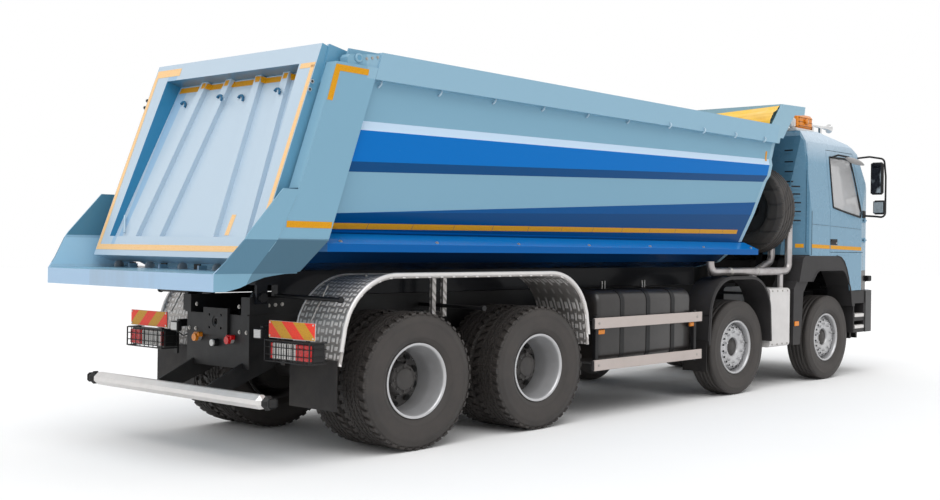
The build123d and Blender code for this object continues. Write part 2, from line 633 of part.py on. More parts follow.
# Headboard: the leaning front wall, its ribs, the hoist's clevis and the hood over the cab
HOOD_WALL = 12
hood_outline = [
    (1990, BODY_TOP), (2200, 3325), (2735, 3345), (2715, 3245), (2490, 3222), (2310, 3020),
    (2235, 2925), (2150, 2925), (2200, BODY_TOP),
]
CLEVIS_IN = 60
with BuildPart() as headboard:
    add(body_hull(0))
    add(head_slab(0, HEAD_DEPTH), mode=Mode.INTERSECT)
    for face in (-HALF_WIDTH, HALF_WIDTH - HOOD_WALL):
        add(plate(hood_outline, Plane.XZ.offset(face), HOOD_WALL))
    for face in (-HALF_WIDTH, HALF_WIDTH - RAIL_BOX_WIDE):
        add(plate([
            (head_front_x(RAIL_BOX_LOW) - HEAD_DEPTH, RAIL_BOX_LOW),
            (head_front_x(RAIL_BOX_LOW), RAIL_BOX_LOW),
            (head_front_x(BODY_TOP), BODY_TOP), (head_front_x(BODY_TOP) - HEAD_DEPTH, BODY_TOP),
        ], Plane.XZ.offset(face), RAIL_BOX_WIDE))
    for face in (CLEVIS_IN, -CLEVIS_IN - 20):
        add(plate([
            (head_front_x(2780) - 20, 2780), (HOIST_X + 50, HOIST_HIGH_Z + 50),
            (HOIST_X + 50, HOIST_HIGH_Z - 50), (head_front_x(2560) - 20, 2560),
        ], Plane.XZ.offset(face), 20))
    add(plate([
        (2200, 3325), (2735, 3345), (2735, 3333), (2200, 3313),
    ], Plane.XZ.offset(-HALF_WIDTH), 2 * HALF_WIDTH))
    add(plate([
        (head_front_x(BODY_TOP) - HEAD_DEPTH, BODY_TOP - 4), (head_front_x(BODY_TOP), BODY_TOP - 4),
        (2240, 3318), (2200, 3318),
    ], Plane.XZ.offset(-HALF_WIDTH), 2 * HALF_WIDTH))
    for turn in (-1, 1):
        block((head_front_x(1670) - HEAD_DEPTH - 20, LEDGE_FRONT + 10), sorted((turn * 1002, turn * 1040)),
              (1668, 1704), mode=Mode.SUBTRACT)
    with BuildSketch(Plane((HOIST_X, 0, HOIST_HIGH_Z), (1, 0, 0), (0, 1, 0))):
        Circle(HOIST_PIN_R)
    extrude(amount=CLEVIS_IN + 40, both=True, mode=Mode.SUBTRACT)
headboard.part.label = "headboard"
export_step(headboard.part, "parts/headboard.step")

# Tailgate: leaning frame of deep beams around a panel with folded ribs, arms up to its pins
gate_low_x = GATE_REAR_X + (GATE_LOW - GATE_TOP) * GATE_LEAN
gate_plane = Plane(
    origin=(gate_low_x + GATE_DEPTH * cos(radians(GATE_TILT)) ** 2, 0,
            GATE_LOW - GATE_THICK * sin(radians(GATE_TILT))),
    x_dir=(0, -1, 0), z_dir=(-cos(radians(GATE_TILT)), 0, sin(radians(GATE_TILT))))
GATE_LONG = (GATE_TOP - GATE_LOW) / cos(radians(GATE_TILT))
PANEL_LOW = 160
PANEL_TOP = GATE_LONG - 150
PANEL_HALF_LOW = 960
PANEL_HALF_TOP = 900
PANEL_DEEP_LOW = 40
PANEL_DEEP_TOP = 125
RIB_HIGH = 38
# Columns: share of the recess width at the bottom, at the top
GATE_RIBS = [(0.17, 0.23), (0.35, 0.42), (0.73, 0.645), (0.94, 0.845)]
ARM_LAP = 20
ARM_PROUD = 12
RIB_HALF_LOW = 62
RIB_HALF_TOP = 40


def gate_slab(plane, face_low, deep_low, deep_top, half):
    """Slab across the recess, its outer face slanting from one thickness to another."""
    with BuildPart() as slab:
        with BuildSketch(Plane(plane.from_local_coords((half, 0, 0)), plane.y_dir, plane.x_dir)):
            Polygon((PANEL_LOW - 2, face_low), (PANEL_TOP + 2, face_low),
                    (PANEL_TOP + 2, deep_top), (PANEL_LOW - 2, deep_low), align=None)
        extrude(amount=-2 * half)
    return slab.part


with BuildPart() as tailgate:
    with BuildSketch(gate_plane):
        Polygon((-GATE_HALF, 0), (GATE_HALF, 0), (GATE_HALF, GATE_LONG), (-GATE_HALF, GATE_LONG),
                align=None)
    extrude(amount=GATE_THICK)
    with BuildSketch(gate_plane):
        Polygon((-PANEL_HALF_LOW, PANEL_LOW), (PANEL_HALF_LOW, PANEL_LOW),
                (PANEL_HALF_TOP, PANEL_TOP), (-PANEL_HALF_TOP, PANEL_TOP), align=None)
    extrude(amount=GATE_THICK, mode=Mode.SUBTRACT)
    add(gate_slab(gate_plane, 0, GATE_THICK - PANEL_DEEP_LOW, GATE_THICK - PANEL_DEEP_TOP, PANEL_HALF_LOW))
    with BuildPart(mode=Mode.PRIVATE) as ribs:
        for share_low, share_top in GATE_RIBS:
            rib_low = (2 * share_low - 1) * PANEL_HALF_LOW
            rib_top = (2 * share_top - 1) * PANEL_HALF_TOP
            with BuildSketch(gate_plane):
                Polygon((rib_low - RIB_HALF_LOW, PANEL_LOW), (rib_low + RIB_HALF_LOW, PANEL_LOW),
                        (rib_top + RIB_HALF_TOP, PANEL_TOP), (rib_top - RIB_HALF_TOP, PANEL_TOP), align=None)
            extrude(amount=GATE_THICK)
        add(gate_slab(gate_plane, 0, GATE_THICK - PANEL_DEEP_LOW + RIB_HIGH,
                      GATE_THICK - PANEL_DEEP_TOP + RIB_HIGH, GATE_HALF), mode=Mode.INTERSECT)
    add(ribs.part)
    for turn in (-1, 1):
        arm_y = sorted((turn * (GATE_HALF - ARM_LAP), turn * (GATE_HALF + ARM_PROUD)))
        add(plate([
            (gate_front_x(GATE_TOP) - 120, GATE_TOP), (GATE_PIN_X + 50, GATE_PIN_Z + 45),
            (GATE_PIN_X + 50, GATE_PIN_Z - 45), (GATE_PIN_X - 60, GATE_PIN_Z - 60),
            (gate_front_x(2800) - 40, 2790), (gate_front_x(2800) - 95, 2800),
        ], Plane.XZ.offset(-arm_y[1]), ARM_LAP + ARM_PROUD))
        pin_start = (GATE_PIN_X, turn * (GATE_HALF - 10), GATE_PIN_Z)
        with BuildSketch(Plane(pin_start, (1, 0, 0), (0, turn, 0))):
            Circle(GATE_PIN_R)
        extrude(amount=HALF_WIDTH - GATE_HALF + 10)
tailgate.part.label = "tailgate"
export_step(tailgate.part, "parts/tailgate.step")

# Tarpaulin, folded across the top of the headboard under the hood
with BuildPart() as tarpaulin:
    hood_rear = head_front_x(BODY_TOP) - HEAD_DEPTH - RUN_GAP
    # Columns: place along Y, height of the fold over the rails, its depth
    for start, end, high_start, high_end in [(-1225, -300, 235, 190), (-300, 1225, 190, 170)]:
        folds = []
        for place, high in ((start, high_start), (end, high_end)):
            with BuildSketch(Plane.XZ.offset(-place)) as fold:
                Polygon((hood_rear, BODY_TOP + SEAT_GAP), (hood_rear - 190, BODY_TOP + SEAT_GAP),
                        (hood_rear - 150, BODY_TOP + 0.45 * high),
                        (hood_rear + 0.14 * high, BODY_TOP + high), align=None)
            folds.append(fold.sketch.face())
        add(loft(folds, ruled=True))
tarpaulin.part.label = "tarpaulin"
export_step(tarpaulin.part, "parts/tarpaulin.step")

# Guards over the wheels: rolled plate on the bogie, moulded arches on the second axle
def arch(corners, radius, half_low, half_high, thick, bead):
    """A pair of wheel arches: a wide flat section with a beaded outer edge, swept along a bent path."""
    with BuildPart() as made:
        with BuildLine(Plane.XZ) as path:
            FilletPolyline(*corners, radius=radius)
        start = path.line @ 0
        with BuildSketch(Plane(origin=start, x_dir=(0, 1, 0), z_dir=path.line % 0)):
            with Locations((-(half_low + half_high) / 2, 0), ((half_low + half_high) / 2, 0)):
                Rectangle(half_high - half_low, thick)
            with Locations((-half_high + bead, 0), (half_high - bead, 0)):
                Circle(bead)
        sweep(path=path.line)
    return made.part


FENDER_LOW = 715
FENDER_TOP = 1368
FENDER_REAR = -3900
FENDER_IN = 640
FENDER_PLATE = 8
with BuildPart() as rear_fenders:
    add(arch([(FENDER_REAR, FENDER_LOW), (-3790, FENDER_TOP), (-1250, FENDER_TOP), (-1160, FENDER_LOW)],
             470, FENDER_IN, HALF_WIDTH, FENDER_PLATE, 14))
    for place in (-2465 - 60, -2465 + 60):
        for turn in (-1, 1):
            block((place - 20, place + 20), sorted((turn * (RAIL_OUT + SEAT_GAP), turn * (FENDER_IN + 40))),
                  (RAIL_TOP - 60, RAIL_TOP - 20))
            block((place - 20, place + 20), sorted((turn * (FENDER_IN + 5), turn * (FENDER_IN + 40))),
                  (RAIL_TOP - 60, FENDER_TOP))
rear_fenders.part.label = "rear_fenders"
export_step(rear_fenders.part, "parts/rear_fenders.step")

ARCH_IN = 900
ARCH_REAR = 798
ARCH_LOW = 586
ARCH_PLATE = 24
with BuildPart() as front_fenders:
    add(arch([(ARCH_REAR, ARCH_LOW), (846, 1295), (1986, 1295), (2034, 560)], 400, ARCH_IN, HALF_WIDTH,
             ARCH_PLATE, 13))
    for place in (885, 1950):
        for turn in (-1, 1):
            block((place - 15, place + 15), sorted((turn * (RAIL_OUT + SEAT_GAP), turn * (ARCH_IN + 60))),
                  (1090, 1120))
front_fenders.part.label = "front_fenders"
export_step(front_fenders.part, "parts/front_fenders.step")

# Flaps behind the wheels
FLAP_THICK = 8
# Columns: front face, inner and outer half width, bottom, top
FLAPS = [
    (FENDER_REAR - FENDER_PLATE / 2 - SEAT_GAP, 650, 1220, 380, FENDER_LOW + 40),
    (ARCH_REAR - ARCH_PLATE / 2 - SEAT_GAP, 905, 1220, 300, ARCH_LOW + 50),
]
with BuildPart() as mud_flaps:
    for place, half_in, half_out, low, top in FLAPS:
        for turn in (-1, 1):
            block((place - FLAP_THICK, place), sorted((turn * half_in, turn * half_out)), (low, top))
mud_flaps.part.label = "mud_flaps"
export_step(mud_flaps.part, "parts/mud_flaps.step")

# Rear bar with rounded section
with BuildPart() as underrun_bar:
    with BuildSketch(Plane((BAR_X, 0, BAR_Z), (1, 0, 0), (0, 1, 0))):
        RectangleRounded(BAR_SIZE - 2 * SEAT_GAP, BAR_SIZE, 34)
    extrude(amount=HALF_WIDTH, both=True)
underrun_bar.part.label = "underrun_bar"
export_step(underrun_bar.part, "parts/underrun_bar.step")

# Tail lamps in their guard cages, on arms from the frame, and the striped boards above them
LAMP_IN = 700
LAMP_LOW = 740
LAMP_TOP = 905
LAMP_REAR = -4165
LAMP_FRONT = -4020
CAGE_BAR = 14
with BuildPart() as tail_lamps:
    for turn in (-1, 1):
        block((LAMP_REAR + 50, LAMP_FRONT - 20), sorted((turn * (LAMP_IN + 40), turn * (HALF_WIDTH - 25))),
              (LAMP_LOW + 25, LAMP_TOP - 25))
        block((LAMP_FRONT - 21, LAMP_FRONT), sorted((turn * (RAIL_OUT + SEAT_GAP), turn * HALF_WIDTH)),
              (LAMP_LOW, LAMP_TOP))
        for level in (LAMP_LOW, LAMP_TOP - CAGE_BAR):
            block((LAMP_REAR, LAMP_REAR + CAGE_BAR), sorted((turn * LAMP_IN, turn * HALF_WIDTH)),
                  (level, level + CAGE_BAR))
            for edge in (LAMP_IN, HALF_WIDTH - CAGE_BAR):
                block((LAMP_REAR, LAMP_FRONT), sorted((turn * edge, turn * (edge + CAGE_BAR))),
                      (level, level + CAGE_BAR))
        for edge in (LAMP_IN, HALF_WIDTH - CAGE_BAR):
            block((LAMP_REAR, LAMP_REAR + CAGE_BAR), sorted((turn * edge, turn * (edge + CAGE_BAR))),
                  (LAMP_LOW, LAMP_TOP))
tail_lamps.part.label = "tail_lamps"
export_step(tail_lamps.part, "parts/tail_lamps.step")

BOARD_LOW = LAMP_TOP + 12
with BuildPart() as marker_boards:
    for turn in (-1, 1):
        block((-4150, -4146), sorted((turn * 690, turn * HALF_WIDTH)), (BOARD_LOW, BOARD_LOW + 125))
        block((-4146, -4120), sorted((turn * 760, turn * 800)), (LAMP_TOP + SEAT_GAP, BOARD_LOW + 100))
        block((-4146, -4120), sorted((turn * 1140, turn * 1180)), (LAMP_TOP + SEAT_GAP, BOARD_LOW + 100))
        block((-4146, LAMP_FRONT), sorted((turn * 760, turn * 1180)), (LAMP_TOP + SEAT_GAP, LAMP_TOP + 8))
marker_boards.part.label = "marker_boards"
export_step(marker_boards.part, "parts/marker_boards.step")

# Side guards on hangers from the frame
GUARD_REAR = -1100
GUARD_FRONT = 650
GUARD_DEEP = 25
GUARD_IN = HALF_WIDTH - GUARD_DEEP
GUARD_LEVELS = ((457, 557), (851, 952))
with BuildPart() as side_guards:
    for turn in (-1, 1):
        for low, top in GUARD_LEVELS:
            block((GUARD_REAR, GUARD_FRONT), sorted((turn * GUARD_IN, turn * HALF_WIDTH)), (low, top))
        for place in (GUARD_REAR + 60, GUARD_FRONT - 50):
            hanger_x = (place - 25, place + 25)
            block(hanger_x, sorted((turn * (GUARD_IN - 50), turn * GUARD_IN)),
                  (GUARD_LEVELS[0][0], GUARD_LEVELS[1][1]))
            block(hanger_x, sorted((turn * (RAIL_OUT + SEAT_GAP), turn * (GUARD_IN - 35))), (860, 910))
side_guards.part.label = "side_guards"
export_step(side_guards.part, "parts/side_guards.step")

# Fuel tank on the right with its straps and brackets; batteries and air vessels on the left
TANK_REAR = -950
TANK_FRONT = 550
TANK_IN = 620
TANK_OUT = 1180
TANK_LOW = 500
TANK_TOP = 1200
STRAPS = 4
with BuildPart() as fuel_tank:
    with BuildSketch(Plane.YZ.offset(TANK_REAR)):
        with Locations((-(TANK_IN + TANK_OUT) / 2, (TANK_LOW + TANK_TOP) / 2)):
            RectangleRounded(TANK_OUT - TANK_IN, TANK_TOP - TANK_LOW, 110)
    extrude(amount=TANK_FRONT - TANK_REAR)
    for strap in range(STRAPS):
        place = TANK_REAR + (strap + 0.5) * (TANK_FRONT - TANK_REAR) / STRAPS
        with BuildSketch(Plane.YZ.offset(place - 32)):
            with Locations((-(TANK_IN + TANK_OUT) / 2, (TANK_LOW + TANK_TOP) / 2)):
                RectangleRounded(TANK_OUT - TANK_IN + 12, TANK_TOP - TANK_LOW + 12, 116)
        extrude(amount=64)
        if strap in (0, STRAPS - 1):
            block((place - 30, place + 30), (-TANK_IN - 120, -RAIL_OUT - SEAT_GAP),
                  (RAIL_LOW, RAIL_LOW + 200))
fuel_tank.part.label = "fuel_tank"
export_step(fuel_tank.part, "parts/fuel_tank.step")

with BuildPart() as battery_box:
    block((-950, -330), (RAIL_OUT + SEAT_GAP, 1170), (600, 1120))
    fillet(battery_box.edges().filter_by(Axis.X), 25)
    for low in (600, 860):
        with BuildSketch(Plane.YZ.offset(-270)):
            with Locations((820, low + 120), (1070, low + 120)):
                Circle(118)
        extrude(amount=760)
    for place in (-150, 350):
        block((place - 15, place + 15), (RAIL_OUT + SEAT_GAP, 1100), (830, 875))
battery_box.part.label = "battery_box"
export_step(battery_box.part, "parts/battery_box.step")

# Silencer box with its pipes: one low along the sill, two up behind the spare wheel
BOX_REAR = 2050
BOX_FRONT = 2490
BOX_IN = 560
BOX_OUT = 1215
BOX_TOP = 1167
PIPE_R = 45
STACK_X = 2585
SILL_PIPE_Z = 1365


def pipe(points, bend, radius):
    """A round pipe along straight runs joined by bends."""
    with BuildPart() as made:
        with BuildLine() as path:
            FilletPolyline(*points, radius=bend)
        with BuildSketch(Plane(origin=path.line @ 0, z_dir=path.line % 0)):
            Circle(radius)
        sweep(path=path.line)
    return made.part


with BuildPart() as exhaust:
    block((BOX_REAR, BOX_FRONT), (-BOX_OUT, -BOX_IN), (480, BOX_TOP))
    fillet(exhaust.edges().filter_by(Axis.X), 40)
    block((BOX_REAR + 60, BOX_FRONT - 60), (-BOX_IN - 4, -RAIL_OUT - SEAT_GAP),
          (RAIL_LOW + 60, RAIL_LOW + 200))
    add(pipe([(980, -1110, 1480), (980, -1110, SILL_PIPE_Z), (STACK_X, -1130, SILL_PIPE_Z),
              (STACK_X, -1130, 2000)], 95, PIPE_R))
    add(pipe([(2150, -900, BOX_TOP - 8), (2150, -900, 1340), (STACK_X - 20, -900, 1480),
              (STACK_X - 20, -900, 2000)], 110, PIPE_R))
    with Locations((2420, -1121, BOX_TOP - 5)):
        Cylinder(34, 190, align=(Align.CENTER, Align.CENTER, Align.MIN))
exhaust.part.label = "exhaust"
export_step(exhaust.part, "parts/exhaust.step")

# Engine and gearbox as one block, with the shaft back to the driven axles
ENGINE_REAR = 2530
with BuildPart() as powertrain:
    block((ENGINE_REAR + 500, 3860), (-300, 300), (640, 1480))
    block((3850, 4230), (-300, 300), (640, 1080))
    block((ENGINE_REAR, ENGINE_REAR + 510), (-240, 240), (660, 1040))
    nose_x = DRIVEN_AXLES[0][1] + 330 + 2
    with BuildSketch(Plane(origin=(nose_x, 0, TYRE_R_REAR), z_dir=(ENGINE_REAR - nose_x, 0, 130))):
        Circle(SHAFT_R)
    extrude(amount=ENGINE_REAR - nose_x + 40)
powertrain.part.label = "powertrain"
export_step(powertrain.part, "parts/powertrain.step")

# Cab: one form from its side, front and plan outlines, drawn in by an inset for each skin
CAB_REAR = 2650
SILL_LOW = 1105
side_outline = [
    (CAB_REAR, CAB_LOW), (2835, CAB_ROOF - 95), (2900, CAB_ROOF - 25), (3350, CAB_ROOF),
    (4010, CAB_ROOF - 115), (4225, CAB_ROOF - 225), (CAB_FRONT - 140, 2000),
    (CAB_FRONT - 15, CAB_LOW + 10), (CAB_FRONT, SILL_LOW), (4060, SILL_LOW), (3990, 1330), (3880, CAB_LOW),
]
front_outline = [(HALF_WIDTH, 900), (HALF_WIDTH, 2120), (1160, CAB_ROOF - 155), (1020, CAB_ROOF + 60)]
plan_outline = [
    (CAB_REAR - 50, 960), (2720, 985), (2920, HALF_WIDTH), (4230, HALF_WIDTH), (CAB_FRONT - 350, 1200),
    (CAB_FRONT - 140, 1010), (CAB_FRONT - 30, 700), (CAB_FRONT + 10, 300),
]


def both_sides(half, across):
    """A half outline and its mirror image, as one closed list of points."""
    if across == "first":
        return half + [(-y, z) for y, z in reversed(half)]
    return half + [(x, -y) for x, y in reversed(half)]


def cab_hull(inset):
    """The cab's outer form, its skins drawn in by an inset."""
    with BuildPart() as hull:
        with BuildSketch(Plane.XZ.offset(-HALF_WIDTH - 50)):
            Polygon(*side_outline, align=None)
            offset(amount=-inset, kind=Kind.INTERSECTION)
        extrude(amount=2 * HALF_WIDTH + 100)
        with BuildSketch(Plane.YZ.offset(CAB_REAR - 200)):
            Polygon(*both_sides(front_outline, "first"), align=None)
            offset(amount=-inset, kind=Kind.INTERSECTION)
        extrude(amount=2600, mode=Mode.INTERSECT)
        with BuildSketch(Plane.XY.offset(900)):
            Polygon(*both_sides(plan_outline, "second"), align=None)
            offset(amount=-inset, kind=Kind.INTERSECTION)
        extrude(amount=2400, mode=Mode.INTERSECT)
    return hull.part


def side_prism(points, inner, outer):
    """An outline in side view, cut through the cab's right side from one half width to another."""
    return plate(points, Plane.XZ.offset(inner), outer - inner)


DOOR_GAP = 6
door_outline = [
    (DOOR_REAR, DOOR_LOW), (DOOR_REAR, DOOR_TOP), (4085, DOOR_TOP), (DOOR_FRONT, 2080),
    (DOOR_FRONT, DOOR_LOW),
]
WINDOW_TOP = DOOR_TOP - 90
door_window = [(3475, 2170), (3475, WINDOW_TOP), (4010, WINDOW_TOP), (4195, 2140), (4180, 2070)]
SCREEN_HALF_LOW = 1080
SCREEN_HALF_TOP = 1010
SCREEN_LOW = 2060
SCREEN_TOP = CAB_ROOF - 255
SIDE_NEAR = 900
SIDE_FAR = HALF_WIDTH + 60
cab_outer = cab_hull(0)
cab_inner = cab_hull(CAB_WALL)
cab_over = cab_hull(-SEAT_GAP)
screen_points = [
    (-SCREEN_HALF_LOW, SCREEN_LOW), (SCREEN_HALF_LOW, SCREEN_LOW), (SCREEN_HALF_TOP, SCREEN_TOP),
    (-SCREEN_HALF_TOP, SCREEN_TOP),
]
HINGE_X = DOOR_FRONT + DOOR_GAP
HINGE_Y = HALF_WIDTH + 2
HINGE_R = 14
HINGE_BOLT_R = 7
HINGE_HEIGHTS = (1760, 2020)
HINGE_LEAF = 20
with BuildPart() as cab_shell:
    add(cab_outer)
    add(cab_inner, mode=Mode.SUBTRACT)
    for mirrored in (False, True):
        opening = side_prism(
            [(DOOR_REAR - DOOR_GAP, DOOR_LOW - DOOR_GAP), (DOOR_REAR - DOOR_GAP, DOOR_TOP + DOOR_GAP),
             (4085 + DOOR_GAP, DOOR_TOP + DOOR_GAP), (DOOR_FRONT + DOOR_GAP, 2080),
             (DOOR_FRONT + DOOR_GAP, DOOR_LOW - DOOR_GAP)], SIDE_NEAR, SIDE_FAR)
        add(mirror(opening, about=Plane.XZ) if mirrored else opening, mode=Mode.SUBTRACT)
    add(plate(screen_points, Plane.YZ.offset(3950), 1000), mode=Mode.SUBTRACT)
    for hinge_z in HINGE_HEIGHTS:
        with Locations((HINGE_X, -HINGE_Y, hinge_z), (HINGE_X, HINGE_Y, hinge_z)):
            Cylinder(HINGE_R, HINGE_LEAF)
            Cylinder(HINGE_BOLT_R, 3 * HINGE_LEAF)
        for turn in (-1, 1):
            block((HINGE_X, HINGE_X + 38), sorted((turn * 1205, turn * (HINGE_Y + 10))),
                  (hinge_z - HINGE_LEAF / 2, hinge_z + HINGE_LEAF / 2))
cab_shell.part.label = "cab_shell"
export_step(cab_shell.part, "parts/cab_shell.step")

glass_skin = cab_hull(8) - cab_hull(8 + GLASS)
with BuildPart() as windscreen:
    add(glass_skin)
    add(plate(screen_points, Plane.YZ.offset(3950), 1000), mode=Mode.INTERSECT)
windscreen.part.label = "windscreen"
export_step(windscreen.part, "parts/windscreen.step")

# Doors with their window glass; the left one is the right one's mirror image
DOOR_WALL = 50
with BuildPart() as door_right:
    add(cab_outer)
    add(cab_hull(DOOR_WALL), mode=Mode.SUBTRACT)
    add(side_prism(door_outline, SIDE_NEAR, SIDE_FAR), mode=Mode.INTERSECT)
    add(side_prism(door_window, SIDE_NEAR, SIDE_FAR), mode=Mode.SUBTRACT)
    for hinge_z in HINGE_HEIGHTS:
        for near, far in ((0.5, 1.5), (-1.5, -0.5)):
            levels = (hinge_z + near * HINGE_LEAF + SEAT_GAP, hinge_z + far * HINGE_LEAF - SEAT_GAP)
            block((HINGE_X - 64, HINGE_X - DOOR_GAP), (-HINGE_Y + 6, -1226), levels)
            with Locations((HINGE_X, -HINGE_Y, sum(levels) / 2)):
                Cylinder(HINGE_R, levels[1] - levels[0])
                Cylinder(HINGE_BOLT_R + PIN_GAP, levels[1] - levels[0], mode=Mode.SUBTRACT)
door_right.part.label = "door_right"
export_step(door_right.part, "parts/door_right.step")

with BuildPart() as door_glass_right:
    add(glass_skin)
    add(side_prism(door_window, SIDE_NEAR, SIDE_FAR), mode=Mode.INTERSECT)
door_glass_right.part.label = "door_glass_right"
export_step(door_glass_right.part, "parts/door_glass_right.step")

with BuildPart() as door_left:
    add(mirror(door_right.part, about=Plane.XZ))
door_left.part.label = "door_left"
export_step(door_left.part, "parts/door_left.step")

with BuildPart() as door_glass_left:
    add(mirror(door_glass_right.part, about=Plane.XZ))
door_glass_left.part.label = "door_glass_left"
export_step(door_glass_left.part, "parts/door_glass_left.step")

# Dark trim round the cab's wheel arch: arch band, panel behind the wheel, steps, sun visor
band_outline = [
    (2660, 1235), (2735, CAB_LOW - SEAT_GAP), (3878, CAB_LOW - SEAT_GAP), (3986, 1330),
    (4056, SILL_LOW - SEAT_GAP), (4056, 900), (3985, 900), (3925, 1150), (3740, 1345), (3110, 1345),
    (2960, 1235),
]
VISOR_HALF = 1060
# Columns: place along the truck, depth below the roof
VISOR = [(4190, 235), (4226, 170), (4262, 170), (4432, 283), (4418, 307), (4200, 265)]
with BuildPart() as cab_trim:
    for mirrored in (False, True):
        with BuildPart(mode=Mode.PRIVATE) as side_trim:
            with BuildSketch(Plane.XZ.offset(ARCH_IN)):
                Polygon(*band_outline, align=None)
            extrude(amount=HALF_WIDTH + 8 - ARCH_IN)
            block((2560, 2760), (-1225, -ARCH_IN), (480, 1245))
            block((2560, 2700), (-ARCH_IN - 10, -RAIL_OUT - SEAT_GAP), (RAIL_LOW + 60, RAIL_LOW + 160))
            block((4056, 4380), (-1235, -960), (550, SILL_LOW - SEAT_GAP))
            for low in (640, 810):
                block((4100, 4360), (-1240, -1000), (low, low + 120), mode=Mode.SUBTRACT)
            block((4100, 4200), (-1000, -RAIL_OUT - SEAT_GAP), (RAIL_LOW + 60, RAIL_LOW + 160))
        add(mirror(side_trim.part, about=Plane.XZ) if mirrored else side_trim.part)
    add(plate([(x, CAB_ROOF - below) for x, below in VISOR],
              Plane.XZ.offset(-VISOR_HALF), 2 * VISOR_HALF))
    add(cab_over, mode=Mode.SUBTRACT)
cab_trim.part.label = "cab_trim"
export_step(cab_trim.part, "parts/cab_trim.step")

# Bumper with wrapped ends, and the lamps let into it
BUMPER_LOW = 548
BUMPER_TOP = SILL_LOW - 8
BUMPER_WALL = 60
bumper_outline = [
    (HALF_LENGTH - 464, 1240), (HALF_LENGTH - 290, 1235), (HALF_LENGTH - 110, 1090),
    (HALF_LENGTH - 30, 760), (HALF_LENGTH, 300),
]
LAMP_SUNK = 6
LAMP_REAR_X = 4500
LAMP_BOX = ((4380, HALF_LENGTH + 20), (820, 1150), (850, 1040))
with BuildPart() as bumper:
    with BuildSketch(Plane.XY.offset(BUMPER_LOW)):
        Polygon(*both_sides(bumper_outline, "second"), align=None)
    extrude(amount=BUMPER_TOP - BUMPER_LOW)
    with BuildSketch(Plane.XY.offset(BUMPER_LOW)):
        Polygon(*both_sides(bumper_outline, "second"), align=None)
        offset(amount=-BUMPER_WALL, kind=Kind.INTERSECTION)
    extrude(amount=BUMPER_TOP - BUMPER_LOW, mode=Mode.SUBTRACT)
    block((4200, 4460), (-1150, 1150), (BUMPER_LOW, BUMPER_TOP), mode=Mode.SUBTRACT)
    for turn in (-1, 1):
        x, y, z = LAMP_BOX
        block(x, sorted((turn * y[0], turn * y[1])), z, mode=Mode.SUBTRACT)
        block((RAIL_FRONT + 12 + SEAT_GAP, HALF_LENGTH - BUMPER_WALL), sorted((turn * 300, turn * 380)),
              (780, 900))
bumper.part.label = "bumper"
export_step(bumper.part, "parts/bumper.step")

with BuildPart() as headlamps:
    with BuildSketch(Plane.XY.offset(BUMPER_LOW)):
        Polygon(*both_sides(bumper_outline, "second"), align=None)
        offset(amount=-LAMP_SUNK, kind=Kind.INTERSECTION)
    extrude(amount=BUMPER_TOP - BUMPER_LOW)
    with BuildSketch(Plane.XY.offset(BUMPER_LOW)):
        Polygon(*both_sides(bumper_outline, "second"), align=None)
        offset(amount=-BUMPER_WALL, kind=Kind.INTERSECTION)
    extrude(amount=BUMPER_TOP - BUMPER_LOW, mode=Mode.SUBTRACT)
    with BuildPart(mode=Mode.PRIVATE) as lamp_places:
        for turn in (-1, 1):
            x, y, z = LAMP_BOX
            block((LAMP_REAR_X, x[1]), sorted((turn * (y[0] + SEAT_GAP), turn * (y[1] - SEAT_GAP))),
                  (z[0] + SEAT_GAP, z[1] - SEAT_GAP))
    add(lamp_places.part, mode=Mode.INTERSECT)
headlamps.part.label = "headlamps"
export_step(headlamps.part, "parts/headlamps.step")

# Grille: a slatted skin laid on the cab's front
GRILLE_SLATS = 6
GRILLE_LOW = 1180
GRILLE_PITCH = 110
with BuildPart() as grille:
    add(cab_hull(-14))
    add(cab_over, mode=Mode.SUBTRACT)
    add(plate([(-760, GRILLE_LOW), (760, GRILLE_LOW), (820, GRILLE_LOW + 40 + GRILLE_SLATS * GRILLE_PITCH),
               (-820, GRILLE_LOW + 40 + GRILLE_SLATS * GRILLE_PITCH)], Plane.YZ.offset(4300), 700),
        mode=Mode.INTERSECT)
    for slat in range(GRILLE_SLATS):
        low = GRILLE_LOW + 40 + slat * GRILLE_PITCH
        block((4300, 4900), (-700, 700), (low, low + 55), mode=Mode.SUBTRACT)
grille.part.label = "grille"
export_step(grille.part, "parts/grille.step")

# Mirrors on tube arms and the kerb mirror over the right door
MIRROR_X = 4335
MIRROR_IN = 1345
MIRROR_OUT = 1545
MIRROR_FOOT = CAB_ROOF - 1030
with BuildPart() as mirrors:
    for turn in (-1, 1):
        post_y = turn * (MIRROR_IN + 150)
        add(pipe([(4215, turn * 1150, CAB_ROOF - 280), (MIRROR_X + 40, turn * 1330, CAB_ROOF - 265),
                  (MIRROR_X + 40, post_y, CAB_ROOF - 315), (MIRROR_X + 40, post_y, MIRROR_FOOT),
                  (4375, turn * 1215, MIRROR_FOOT)], 55, 14))
        for low, top in ((CAB_ROOF - 765, CAB_ROOF - 345), (MIRROR_FOOT - 25, MIRROR_FOOT + 200)):
            with BuildSketch(Plane.YZ.offset(MIRROR_X - 35)):
                with Locations((turn * (MIRROR_IN + MIRROR_OUT) / 2, (low + top) / 2)):
                    RectangleRounded(MIRROR_OUT - MIRROR_IN, top - low, 45)
            extrude(amount=80, taper=6)
    with BuildSketch(Plane.XY.offset(CAB_ROOF - 330)):
        with Locations((4282, -1315)):
            RectangleRounded(228, 150, 30)
    extrude(amount=75, taper=8)
    add(cab_over, mode=Mode.SUBTRACT)
mirrors.part.label = "mirrors"
export_step(mirrors.part, "parts/mirrors.step")

